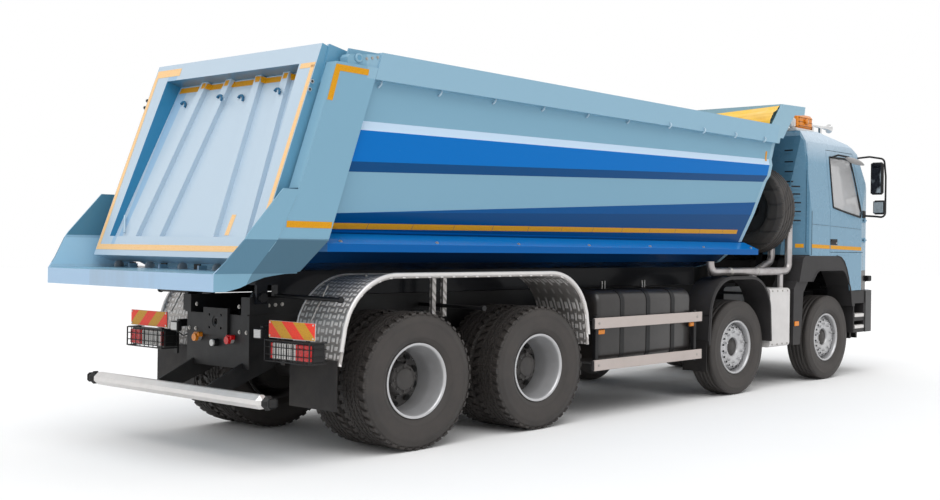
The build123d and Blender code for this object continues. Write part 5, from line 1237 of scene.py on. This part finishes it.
FRAME_OUT = 0.4262
clutter = Mesh(black_steel, zinc, white_lens, black_plastic, hose_black, amber_lens, red_lens, bare)
clutter.box((-4.113, -0.165, 0.895), (-4.108, 0.165, 1.105), 0, 0.003)
for y in (-0.130, 0.130):
    for z in (0.945, 1.000, 1.055):
        clutter.bolt((-4.113, y, z), (-1, 0, 0), 0.010, 0.009, 0)
clutter.turned([(0.020, 0.0), (0.062, 0.0), (0.062, 0.010), (0.052, 0.016), (0.026, 0.016), (0.020, 0.010)],
               (-4.112, 0, 1.0), (-1, 0, 0), 28, 0, closed=True)
for side in (-1, 1):
    for y, z in ((0.390, 1.120), (0.290, 1.124), (0.390, 0.930), (0.300, 0.930)):
        clutter.bolt((-4.112, side * y, z), (-1, 0, 0), 0.011, 0.009, 1)
    clutter.side_box(side, (-4.140, 0.520, 0.895), (-4.100, 0.625, 0.975), 3, 0.006)
    clutter.side_box(side, (-4.143, 0.530, 0.904), (-4.139, 0.615, 0.966), 2, 0.002)
    clutter.side_box(side, (-4.104, 0.555, 0.930), (-4.020, 0.590, 0.990), 0)
    for k in range(5):
        clutter.bolt((-4.069 + 0.059 * k, side * FRAME_OUT, 1.128 + 0.003 * k), (0, side, 0), 0.010, 0.009, 1)
    for x in (-3.70, -3.15, -2.465, -1.78, -0.90, 0.30, 1.10, 2.60, 3.10, 3.90):
        for z in (0.800, 0.860, 0.960, 1.020):
            clutter.bolt((x - 0.03, side * FRAME_OUT, z), (0, side, 0), 0.010, 0.008, 0)
    for x in (-0.750, -0.050, 0.620):
        for shift in (-0.022, 0.022):
            clutter.rod((x + shift, side * 0.470, 1.150), (x + shift, side * 0.470, 1.265), 0.007, 8, 7)
        clutter.side_box(side, (x - 0.040, 0.426, 1.140), (x + 0.040, 0.474, 1.152), 0)
for y, mat in ((0.240, 5), (-0.205, 6)):
    clutter.rod((-4.095, y, 0.865), (-4.140, y, 0.865), 0.026, 16, 7)
    clutter.rod((-4.140, y, 0.865), (-4.165, y, 0.865), 0.030, 16, mat)
    clutter.box((-4.150, y - 0.034, 0.868), (-4.100, y + 0.034, 0.905), mat, 0.006)
clutter.rod((-4.095, 0.0, 0.835), (-4.150, 0.0, 0.835), 0.030, 18, 3)
clutter.rod((-4.150, 0.0, 0.835), (-4.162, 0.0, 0.835), 0.026, 18, 2)
clutter.box((-4.100, -0.260, 0.800), (-4.094, 0.290, 0.900), 0, 0.004)
for near, far, sag in ((0.240, 0.060, 0.09), (-0.205, -0.050, 0.11), (0.0, 0.180, 0.13)):
    hose = [(-4.090, near, 0.862), (-4.030, near, 0.850), (-3.990, (near + far) / 2, 0.850 - sag),
            (-3.900, far, 0.870), (-3.780, far, 0.880)]
    clutter.tube(hose, 0.0085, 8, 4, 0.05)
clutter.tube([(-4.135, 0.560, 0.905), (-4.110, 0.480, 0.860), (-4.090, 0.360, 0.905)], 0.005, 8, 4, 0.03)
clutter.done("rear_couplings", "chassis")
print("rear pieces", len(clutter.faces), "faces")

# %% [markdown]
# ## Fuel tank, side guards and marker lamps
# The tank's ends are domed and its long edges well rounded; three bands hold it to the frame.
# The guard's two aluminium planks stand on black hangers, with amber lamps hanging under the upper one.

# %% Tank and side guards
def rounded_outline(low, high, radius, parts=6):
    """A rectangle with round corners, as points in order."""
    spots = [(high[0] - radius, high[1] - radius, 0), (low[0] + radius, high[1] - radius, 90),
             (low[0] + radius, low[1] + radius, 180), (high[0] - radius, low[1] + radius, 270)]
    turns = [(u, v, math.radians(a + 90 * k / parts)) for u, v, a in spots for k in range(parts + 1)]
    return [(u + radius * math.cos(a), v + radius * math.sin(a)) for u, v, a in turns]


TANK = {"rear": -0.950, "front": 0.550, "in": 0.620, "out": 1.180, "low": 0.500, "top": 1.200}
tank = Mesh(dark_tank, black_steel, black_plastic)


def tank_ring(x, inset, radius):
    """The tank's outline at a place along the truck, drawn in by an inset."""
    low, high = (TANK["in"] + inset, TANK["low"] + inset), (TANK["out"] - inset, TANK["top"] - inset)
    return [(x, -y, z) for y, z in rounded_outline(low, high, radius, 7)]


dome = ((0.0, 0.060), (0.006, 0.030), (0.022, 0.010), (0.050, 0.0))
levels = [(TANK["rear"] + s, inset) for s, inset in dome]
levels += [(TANK["front"] - s, inset) for s, inset in dome[::-1]]
tank.loft([tank_ring(x, inset, 0.115 - inset * 0.6) for x, inset in levels], 0)
for k in range(3):
    rear, front = (TANK["rear"] + 0.354 + 0.407 * k + shift for shift in (-0.030, 0.030))
    tank.loft([tank_ring(rear, -0.005, 0.118), tank_ring(front, -0.005, 0.118)], 1, ends=False)
    for x in (rear, front):
        tank.loft([tank_ring(x, -0.005, 0.118), tank_ring(x, 0.002, 0.112)], 1, False, ends=False)
    tank.side_box(-1, (rear, 0.425, 0.495), (front, 0.640, 0.760), 1, 0.004)
tank.turned([(0.0, 0.050), (0.048, 0.050), (0.056, 0.042), (0.056, 0.0)],
            (0.300, -1.060, 1.150), (0, -0.25, 1), 24, 2)
tank.box((-0.935, -1.060, 0.800), (-0.928, -0.980, 0.870), 2, 0.002)
tank.done("fuel_tank_dressed", "chassis", replaces=("fuel_tank",))

guards = Mesh(plank_metal, black_steel, amber_lens, black_plastic, zinc)
GUARD = {"rear": -1.100, "front": 0.650, "out": 1.250, "deep": 0.025}
near, far = GUARD["out"] - GUARD["deep"], GUARD["out"]
for side in (-1, 1):
    for low, top in ((0.457, 0.557), (0.851, 0.952)):
        guards.side_box(side, (GUARD["rear"] + 0.030, near, low), (GUARD["front"], far, top), 0, 0.004)
        for x, long, round_ in ((GUARD["rear"], 0.030, 0.010), (GUARD["front"] - 0.010, 0.022, 0.006)):
            guards.side_box(side, (x, near - 0.001, low - 0.001),
                            (x + long, far + 0.001, top + 0.001), 3, round_)
    for x in (-1.010, 0.560):
        guards.side_box(side, (x - 0.022, 1.180, 0.440), (x + 0.022, 1.224, 0.970), 1, 0.004)
        guards.side_box(side, (x - 0.020, 0.425, 0.880), (x + 0.020, 1.185, 0.925), 1)
        for z in (0.507, 0.902):
            guards.bolt((x, side * 1.2505, z), (0, side, 0), 0.009, 0.005, 4)
    for x, z in ((-0.945, 0.817), (0.528, 0.825)):
        guards.side_box(side, (x - 0.052, 1.196, z - 0.022), (x + 0.052, 1.222, z + 0.022), 2, 0.006)
        guards.side_box(side, (x - 0.058, 1.180, z - 0.028), (x + 0.058, 1.200, z + 0.032), 3, 0.003)
guards.done("side_guards_dressed", "chassis", replaces=("side_guards",))
print("tank and guards built")

# %% [markdown]
# ## Silencer box and pipes
# The white box beside the cab cleans the exhaust; a bare pipe runs from the engine to it at sill height,
# with a clamp where two lengths meet, and a stub leads the gas back down.

# %% Exhaust box and pipes
def exhaust_metal():
    """White painted steel on the silencer box, bare steel with heat tints on the pipes."""
    net = Net("exhaust_metal")
    x, y, z = net.place()
    box = x.between(2.045, 2.495) * (y < -0.555) * (z < 1.172)
    cloud = net.noise(5.0, 5.0)
    white = net.mix(cloud.ramp(0.35, 0.75) * 0.6, rgb(0.70, 0.68, 0.67), rgb(0.56, 0.54, 0.53))
    bare_steel = net.mix(cloud.ramp(0.4, 0.7), rgb(0.50, 0.48, 0.48), rgb(0.36, 0.33, 0.32))
    return net.finish(Base_Color=net.mix(box, bare_steel, white), Metallic=(1 - box) * 0.8,
                      Roughness=cloud * 0.15 + 0.3, Normal=net.bump(net.noise(40.0, 3.0), 0.0008, 0.4))


wear("exhaust", exhaust_metal())
round_edges(nodes["exhaust"], 0.012, 3)
silencer = Mesh(zinc)
for k in range(4):
    for z in (1.135, 0.512):
        silencer.bolt((2.105 + 0.110 * k, -1.215, z), (0, -1, 0), 0.008, 0.006, 0)
for z in (0.640, 0.760, 0.880, 1.010):
    silencer.bolt((2.050, -1.10, z), (-1, 0, 0), 0.008, 0.006, 0)
clamp = [(0.0455, -0.006), (0.0500, -0.004), (0.0500, 0.004), (0.0455, 0.006)]
for x in (1.290, 1.305, 1.840):
    silencer.turned(clamp, (x, -1.150, 1.365), (1, 0, 0), 24, 0)
silencer.done("silencer_trim", "chassis")
print("silencer dressed")

# %% [markdown]
# ## The cab
# The cab's form is the construction model's; what makes it read as a cab is what sits on it:
# louvres pressed into the rear corner, a crease along the side, tape, a handle and a seal round the window.

# %% Cab paint and side details
def cab_sides():
    """Light blue, with painted shade on the rear corner and a painted highlight towards the roof; black
    inside the wheel arch and on the front corner's foot, and black as painted shade on every face that looks
    down.
    """
    net = Net("cab_sides")
    x, y, z = net.place()
    face = net.facing()
    cloud = net.noise(0.9, 3.0)
    tone = net.mix(cloud * 0.4, CAB, darker(CAB, 0.84))
    # Painted shade: the rear corner panel is turned a deep blue.
    corner = (x < 2.905) * (z > 1.56)
    tone = net.mix(corner * 0.8, tone, rgb(0.065, 0.185, 0.29))
    # Painted highlight: the sides grow pale towards the roof.
    tone = net.mix(z.ramp(2.70, 3.05) * (1 - corner) * 0.85, tone, rgb(0.60, 0.70, 0.80))
    hollow = (z < 1.56) * (abs(y) < 1.235) * (x < 4.30)
    foot = (z < 1.362) * (x > 4.235) * (abs(y) > 0.95)
    # Faces that look down are also black: painted shade.
    black = hollow.most(foot).most(face[2] < -0.35)
    tone = net.mix(black, tone, rgb(0.010, 0.010, 0.011))
    ripple = net.noise(38.0, 2.0) * 0.12 + net.noise(2.4, 2.0)
    return net.finish(Base_Color=tone, Roughness=net.noise(5.0, 5.0) * 0.10 + 0.22, Coat_Weight=0.2,
                      Coat_Roughness=0.05, Specular_IOR_Level=0.25, Normal=net.bump(ripple, 0.003, 0.22))


CAB = rgb(0.19, 0.345, 0.47)
cab_look = cab_sides()
for name in ("cab_shell", "door_right", "door_left"):
    wear(name, cab_look)

CORNER_REAR, CORNER_FRONT = Vector((2.720, -0.985, 0)), Vector((2.920, -1.250, 0))
INTO_CORNER = Vector((0.8, 0.6, 0))
# Each louvre: where it begins and ends, as shares of the corner's width, and its height.
LOUVRES = ((0.0, 0.290, 2.842), (0.0, 0.295, 2.700), (0.0, 0.300, 2.578), (0.0, 0.305, 2.455),
           (0.24, 0.56, 2.396), (0.24, 0.565, 2.303), (0.31, 0.60, 2.198), (0.31, 0.60, 2.090),
           (0.31, 0.60, 1.980))


def mirror_y(point, side):
    """The same place on the right (-1) or the left (1) side; places are given for the right."""
    return Vector((point[0], -side * point[1], point[2]))


cab_details = Mesh(black_plastic, cab_look, tape)
for side in (-1, 1):
    into = mirror_y(INTO_CORNER, side)

    def corner(share, z):
        """A starting point behind the rear corner."""
        p = CORNER_REAR.lerp(CORNER_FRONT, share)
        return mirror_y((p.x - 0.4, p.y - 0.3, z), side)

    def lay_corner(a, b, top, low, *rest):
        lines = [(corner(a, z), corner(b, z)) for z in (top, low)]
        lay(cab_details, "cab_shell", *lines, into, *rest)

    # Each louvre's opening is a black strip laid on the panel, painted shade, with a lip in the cab's paint
    # just below it.
    for a, b, z in LOUVRES:
        lay_corner(a, b, z + 0.008, z - 0.008, 4)
        lay_corner(a, b, z - 0.014, z - 0.040, 4, 0.006, 1)
    lay_corner(0.40, 0.72, 1.695, 1.648, 3, 0.002, 2)
    lay_beside(cab_details, "cab_shell", side, ((2.935, 1.693), (3.378, 1.684)),
               ((2.935, 1.647), (3.378, 1.638)), 3, 0.002, 2)
    rim = trace("cab_shell", [corner(0.82, 1.60 + 0.07 * k) for k in range(20)], into)
    cab_details.tube([spot - into * 0.002 for spot in rim], 0.010, 8, 1)
    crease = beside(side, [(2.925 + 0.0412 * k, 1.940 - 0.001 * k) for k in range(12)])
    cab_details.tube(trace("cab_shell", crease, (0, -side, 0)), 0.0045, 6, 1)
    cab_details.tube([(2.928, side * 1.2525, 1.56), (2.928, side * 1.2525, 2.10)], 0.0025, 6, 0)
cab_details.done("cab_details", "chassis")

WINDOW = [(3.475, 2.170), (3.475, 2.790), (4.010, 2.790), (4.195, 2.140), (4.180, 2.070)]
WINDOW_MIDDLE = Vector((3.86, 0, 2.44))


def window_line(step=8):
    """Places just outside the window's edge, all round it and on along its first side."""
    closed = WINDOW + WINDOW[:2]
    line = []
    for (xa, za), (xb, zb) in zip(closed, closed[1:]):
        for k in range(step):
            spot = Vector((xa + (xb - xa) * k / step, 0, za + (zb - za) * k / step))
            spot += (spot - WINDOW_MIDDLE).normalized() * 0.014
            line.append((spot.x, spot.z))
    return line


for side, name in ((-1, "door_right"), (1, "door_left")):
    inward = (0, -side, 0)
    door = Mesh(black_plastic, cab_look, tape, chrome)
    lay_beside(door, name, side, ((3.400, 1.684), (4.222, 1.668)),
               ((3.400, 1.638), (4.222, 1.622)), 4, 0.002, 2)
    crease = beside(side, [(3.400 + 0.062 * k, 1.928 - 0.0018 * k) for k in range(14)])
    door.tube(trace(name, crease, inward), 0.0045, 6, 1)
    door.side_box(side, (3.395, 1.244, 1.688), (3.575, 1.2535, 1.762), 0, 0.003)
    door.side_box(side, (3.410, 1.250, 1.735), (3.562, 1.262, 1.754), 0, 0.004)
    door.rod((3.548, side * 1.2535, 1.712), (3.548, side * 1.257, 1.712), 0.010, 14, 3)
    door.tube(trace(name, beside(side, window_line()), inward), 0.013, 8, 0)
    door.done("details_" + name, name)
print("cab details", len(cab_details.faces), "door details", len(door.faces))

# %% [markdown]
# ## Arch band, steps and visor
# The dark moulding over the front wheel is drawn as two round-cornered lines with a band between them.
# Behind the wheel hangs a panel with an amber lamp, and in front of it two steps with bright treads.

# A small panel in the cab's colour laps over the moulding's front corner.

# %% Dark trim of the cab
def flat_line(points, radius):
    """A round-cornered line in side view, as (x, z) points."""
    return [(p.x, p.z) for p in rounded([(x, 0, z) for x, z in points], radius, 6)]


outer_line = flat_line([(2.640, 1.235), (2.735, 1.549), (3.878, 1.549), (3.986, 1.330), (4.056, 1.104),
                        (4.056, 0.900)], 0.10)
inner_line = flat_line([(3.985, 0.900), (3.930, 1.150), (3.760, 1.372), (3.090, 1.372), (2.955, 1.235)], 0.14)
HANGER = [(2.560, 0.480), (2.720, 0.480), (2.760, 0.760), (2.790, 1.100), (2.900, 1.235), (2.640, 1.245),
          (2.565, 1.150)]
VISOR = [(4.190, 2.880), (4.226, 2.945), (4.262, 2.945), (4.432, 2.832), (4.418, 2.808), (4.200, 2.850)]
CORNER_SKIN = [(3.560, 1.552), (3.670, 1.536), (3.760, 1.480), (3.830, 1.380), (3.885, 1.260), (3.925, 1.104),
               (4.060, 1.104), (3.990, 1.330), (3.884, 1.552)]
band = outer_line + inner_line
cab_trim = Mesh(arch_plastic, black_plastic, bare, amber_lens, black_steel)
for side in (-1, 1):
    cab_trim.prism(band, "y", *sorted((side * 0.905, side * 1.256)), 0)
    cab_trim.tube([(x, side * 1.2545, z) for x, z in inner_line], 0.010, 8, 0)
    cab_trim.prism(HANGER, "y", *sorted((side * 0.905, side * 1.225)), 0)
    cab_trim.side_box(side, (2.560, 0.426, 0.820), (2.700, 0.910, 0.920), 1)
    cab_trim.side_box(side, (4.100, 0.426, 0.820), (4.200, 1.000, 0.920), 1)
    cab_trim.side_box(side, (2.580, 1.224, 0.706), (2.672, 1.240, 0.762), 3, 0.005)
    cab_trim.side_box(side, (4.056, 0.960, 0.550), (4.380, 0.990, 1.100), 0)
    for x0, x1 in ((4.056, 4.082), (4.345, 4.380)):
        cab_trim.side_box(side, (x0, 0.960, 0.550), (x1, 1.235, 1.104), 0, 0.006)
    for z0, z1 in ((0.550, 0.602), (0.700, 0.752), (0.930, 1.104)):
        cab_trim.side_box(side, (4.066, 0.960, z0), (4.370, 1.235, z1), 0, 0.006)
    for z in (0.602, 0.752):
        cab_trim.side_box(side, (4.090, 1.010, z), (4.338, 1.243, z + 0.042), 2, 0.004)
        for k in range(9):
            x = 4.100 + 0.0265 * k
            cab_trim.side_box(side, (x, 1.022, z + 0.042), (x + 0.012, 1.231, z + 0.047), 2)
    for x in (4.120, 4.290):
        cab_trim.side_box(side, (x - 0.018, 1.04, 0.470), (x + 0.018, 1.16, 0.552), 4, 0.004)
cab_trim.prism(VISOR, "y", -1.06, 1.06, 1)
skin = Mesh(cab_look, arch_plastic)
for side in (-1, 1):
    skin.prism(CORNER_SKIN, "y", *sorted((side * 1.240, side * 1.2572)), 0)
    skin.tube([(x, side * 1.2575, z) for x, z in CORNER_SKIN[:6]], 0.006, 8, 1)
skin.done("corner_skin", "chassis")
cab_trim.done("cab_trim_dressed", "chassis", replaces=("cab_trim",), bevel=0.004)
print("dark trim", len(cab_trim.faces), "faces")

# %% [markdown]
# ## Second axle's arches
# These two mudguards are bent bands too, with a bead along the edge and a seam where two mouldings meet.

# %% Beads and seams of the arches
arch_beads = Mesh(arch_plastic, black_steel)
ARCH_X, ARCH_FAR = 1.415, 1.3


def arch_spots(side, places):
    """Points of the arch, for places given as an angle round the wheel and a distance across."""
    spots = []
    for degrees, out_ in places:
        direction = Vector((math.cos(math.radians(degrees)), 0, math.sin(math.radians(degrees))))
        start = Vector((ARCH_X, side * out_, FRONT_R)) + direction * ARCH_FAR
        spots += [spot + direction * 0.001 for spot in trace("front_fenders", [start], -direction)]
    return spots


for side in (-1, 1):
    edge = arch_spots(side, [(180 - 3.1 * k, 1.236) for k in range(60)])
    arch_beads.tube([spot for spot in edge if spot.z > 0.60], 0.010, 8, 0)
    for degrees in (38, 148):
        arch_beads.tube(arch_spots(side, [(degrees, 0.91 + 0.048 * k) for k in range(8)]), 0.003, 6, 1)
arch_beads.done("arch_beads", "chassis")
print("arch beads", len(arch_beads.faces), "faces")

# %% [markdown]
# ## Mirrors, beacon and lamps of the cab
# The two big mirrors hang on one bent tube; their glass faces the rear, towards the camera.
# A kerb mirror sits on its own short stalk over the door's window.

# %% Mirrors, beacon and bumper
def mirror_glass():
    """Silvered glass with a painted reflection: patches of dark land and pale sky in its colour."""
    net = Net("mirror_glass")
    x, y, z = net.place()
    # Painted reflection: noise patches switch the colour between dark land and pale sky.
    reflection_patches = net.noise(5.5, 2.0, 0.5, (1.0, 1.0, 0.6))
    tone = net.mix(reflection_patches.ramp(0.50, 0.56), rgb(0.03, 0.035, 0.045), rgb(0.42, 0.50, 0.55))
    return net.finish(Base_Color=tone, Metallic=1.0, Roughness=reflection_patches * 0.04 + 0.03,
                      Normal=net.bump(net.noise(2.0, 1.0), 0.001, 0.1))


pod_grey = plain("pod_grey", rgb(0.30, 0.29, 0.29), 0.4, grain=180.0, dust=0.1,
                 second=rgb(0.40, 0.39, 0.385))
# The tube that carries both mirrors, as (x, out, z); then low, top, near and far of each mirror.
ARM = ((4.215, 1.130, 2.835), (4.330, 1.300, 2.862), (4.372, 1.495, 2.830), (4.372, 1.520, 2.600),
       (4.372, 1.520, 2.060), (4.360, 1.380, 2.075), (4.330, 1.210, 2.085))
HEADS = ((2.360, 2.785, 1.325, 1.505), (2.100, 2.285, 1.366, 1.544))
mirrors = Mesh(black_plastic, mirror_glass(), pod_grey, black_steel)
for side in (-1, 1):
    mirrors.tube([(x, side * y, z) for x, y, z in ARM], 0.013, 10, 3, 0.06)
    for low, top, near, far in HEADS:
        mirrors.side_box(side, (4.300, near, low), (4.372, far, top), 0, 0.026)
        mirrors.side_box(side, (4.2965, near + 0.020, low + 0.022),
                         (4.302, far - 0.020, top - 0.022), 1, 0.002)
        mirrors.side_box(side, (4.2975, near + 0.012, low + 0.014),
                         (4.3015, far - 0.012, top - 0.014), 3, 0.002)
    mirrors.side_box(side, (4.250, 1.195, 2.050), (4.330, 1.262, 2.150), 0, 0.012)
mirrors.tube([(3.500, -1.190, 2.795), (3.560, -1.250, 2.830), (3.760, -1.300, 2.815)], 0.012, 10, 3, 0.05)
rings = []
for share in range(9):
    s = share / 8
    grow = math.sin(math.pi * min(max(s, 0.04), 0.97)) ** 0.45
    centre = Vector((3.700 + 0.450 * s, -1.300, 2.800 - 0.055 * s))
    rings.append([centre + Vector((0, 0.055 * grow * u, 0.034 * grow * v)) for u, v in circle(1.0, 16)])
mirrors.loft(rings, 2)
mirrors.done("mirrors_dressed", "chassis", replaces=("mirrors",))

beacon = Mesh(white_steel, amber_lens, black_plastic)
beacon.box((2.900, -1.030, 3.085), (3.345, -0.870, 3.132), 0, 0.012)
beacon.box((2.975, -1.015, 3.130), (3.330, -0.885, 3.308), 1, 0.030)
beacon.box((2.880, -0.990, 3.125), (2.972, -0.910, 3.262), 0, 0.028)
for z in (3.165, 3.215, 3.265):
    beacon.box((2.990, -1.0165, z - 0.002), (3.315, -0.8835, z + 0.002), 2)
beacon.turned([(0.0, 0.0), (0.034, 0.0), (0.040, 0.022), (0.0, 0.026)],
              (3.150, -1.016, 3.222), (0, -1, 0), 24, 1)
beacon.done("beacon_dressed", "chassis", replaces=("beacon",))


def bumper_paint():
    """Bright blue, with black below, behind and on the ends inside the steps."""
    net = Net("bumper_paint")
    x, y, z = net.place()
    dark = (z < 0.86).most(x < 4.62).most(net.facing()[0] < -0.3)
    tone = net.mix(net.noise(1.2, 3.0) * 0.4, rgb(0.0, 0.14, 0.46), rgb(0.0, 0.11, 0.38))
    tone = net.mix(dark, tone, rgb(0.014, 0.014, 0.015))
    return net.finish(Base_Color=tone, Roughness=net.noise(9.0, 4.0) * 0.2 + 0.3, Coat_Weight=0.2,
                      Normal=net.bump(net.noise(60.0, 3.0), 0.0008, 0.3))


wear("bumper", bumper_paint())
front_lamps = Mesh(black_plastic, white_lens)
for side in (-1, 1):
    front_lamps.side_box(side, (4.468, 1.150, 1.215), (4.560, 1.238, 1.290), 0, 0.010)
    front_lamps.side_box(side, (4.500, 1.156, 1.225), (4.566, 1.232, 1.280), 1, 0.008)
    front_lamps.rod((4.480, side * 1.120, 1.190), (4.505, side * 1.190, 1.230), 0.012, 10, 0)
front_lamps.done("corner_lamps", "chassis")
print("mirrors and lamps done")

# %% [markdown]
# ## Spare wheel
# The spare stands upright behind the cab, across the vehicle, so it shows its tread from the side.
# It is the steered tyre again, turned a quarter, with small dark bars laid across its shoulders.

# %% Spare wheel
SPARE = (2.350, -0.750, 2.100)
SPARE_BARS = 66
spare = Mesh(tread_rubber, rim_dark)
spare.turned(carcass(FRONT_R, ribbed_tread(FRONT_R)), SPARE, (1, 0, 0), 120)
rear_disc = [(0.286, -0.112), (0.270, -0.060), (0.262, 0.0), (0.120, 0.030), (0.0, 0.030)]
front_disc = [(0.286, 0.112), (0.270, 0.060), (0.262, 0.005), (0.120, 0.040), (0.0, 0.055)]
for disc in (rear_disc, front_disc):
    spare.turned(disc, SPARE, (1, 0, 0), 60, 1)
for k in range(SPARE_BARS):
    turn = Matrix.Translation(SPARE) @ Matrix.Rotation(2 * math.pi * k / SPARE_BARS, 4, "X")
    for along in (-0.128, 0.128):
        move = turn @ Matrix.Translation((along, 0, FRONT_R - 0.006))
        spare.box((-0.020, -0.0035, -0.008), (0.020, 0.0035, 0.0055), 1, move=move)
spare.done("spare_wheel_dressed", "chassis", replaces=("spare_wheel",))
print("spare wheel", len(spare.faces), "faces")

# %% [markdown]
# ## Rolled tarpaulin
# The cover is gathered against the headboard: heavy coated cloth that falls in long folds across the body.
# Its surface is worked out row by row, from the rail up to the hood, with folds that fade at the ends.

# %% Tarpaulin
def cover_cloth():
    """Bright yellow coated cloth with a fine weave, in tones that vary at random, with a painted highlight
    that pales its upper part.
    """
    net = Net("cover_cloth")
    x, y, z = net.place()
    cloud = net.noise(3.0, 5.0, 0.6)
    tone = net.mix(cloud.ramp(0.35, 0.75), rgb(0.96, 0.62, 0.09), rgb(0.88, 0.42, 0.01))
    # Painted highlight: the cloth pales towards the top of the roll.
    tone = net.mix(z.ramp(3.10, 3.26) * cloud.ramp(0.4, 0.6) * 0.6, tone, rgb(0.98, 0.78, 0.35))
    weave = (y * 520).wave() * 0.5 + (z * 520).wave() * 0.5
    return net.finish(Base_Color=tone, Roughness=cloud * 0.15 + 0.45,
                      Normal=net.bump(weave * 0.12 + net.noise(14.0, 4.0), 0.006, 0.5))


ROWS, COLUMNS = 26, 150
COVER_HALF, COVER_FOOT, THICK = 1.222, 3.0735, 0.0018
BEND = 0.30
lines = []
for j in range(COLUMNS + 1):
    y = -COVER_HALF + 2 * COVER_HALF * j / COLUMNS
    high = 0.235 - 0.045 * min((y + COVER_HALF) / 0.92, 1.0) - 0.020 * max(0.0, (y + 0.30) / 1.52)
    line = []
    for i in range(ROWS + 1):
        s = i / ROWS
        if s < BEND:
            x, z = 1.972 + 0.048 * s / BEND, COVER_FOOT + 0.45 * high * s / BEND
        else:
            t = (s - BEND) / (1 - BEND)
            x, z = 2.020 + (0.143 + 0.14 * high) * t, COVER_FOOT + high * (0.45 + 0.55 * t)
        swing = math.sin(y * 11.0 + s * 5.0) * 0.5 + math.sin(y * 23.0 - s * 3.0 + 1.3) * 0.3
        swing += math.sin(y * 5.1) * 0.4
        fold = math.sin(s * 15.0 + swing * 1.1) * 0.0085 + math.sin(s * 34.0 + y * 7.0) * 0.0022
        fade = math.sin(math.pi * s) ** 0.5 if 0 < s < 1 else 0.0
        line.append(Vector((x - fold * fade * 0.9, y, z + fold * fade * 0.4)))
    lines.append(line)
wide = ROWS + 1
cover = Mesh(cover_cloth())
faces = [(j * wide + i, (j + 1) * wide + i, (j + 1) * wide + i + 1, j * wide + i + 1)
         for j in range(COLUMNS) for i in range(ROWS)]
cover.add([p for line in lines for p in line], faces, 0, True)
cover_obj = cover.done("tarpaulin_cloth", "tipper", replaces=("tarpaulin",))
thickness = cover_obj.modifiers.new("cloth", "SOLIDIFY")
thickness.thickness = THICK
thickness.offset = 1.0
length = sum((b - a).length for a, b in zip(lines[40], lines[40][1:]))
print("tarpaulin", len(cover.faces), "faces, cut", 2 * COVER_HALF, "by", round(length, 3))
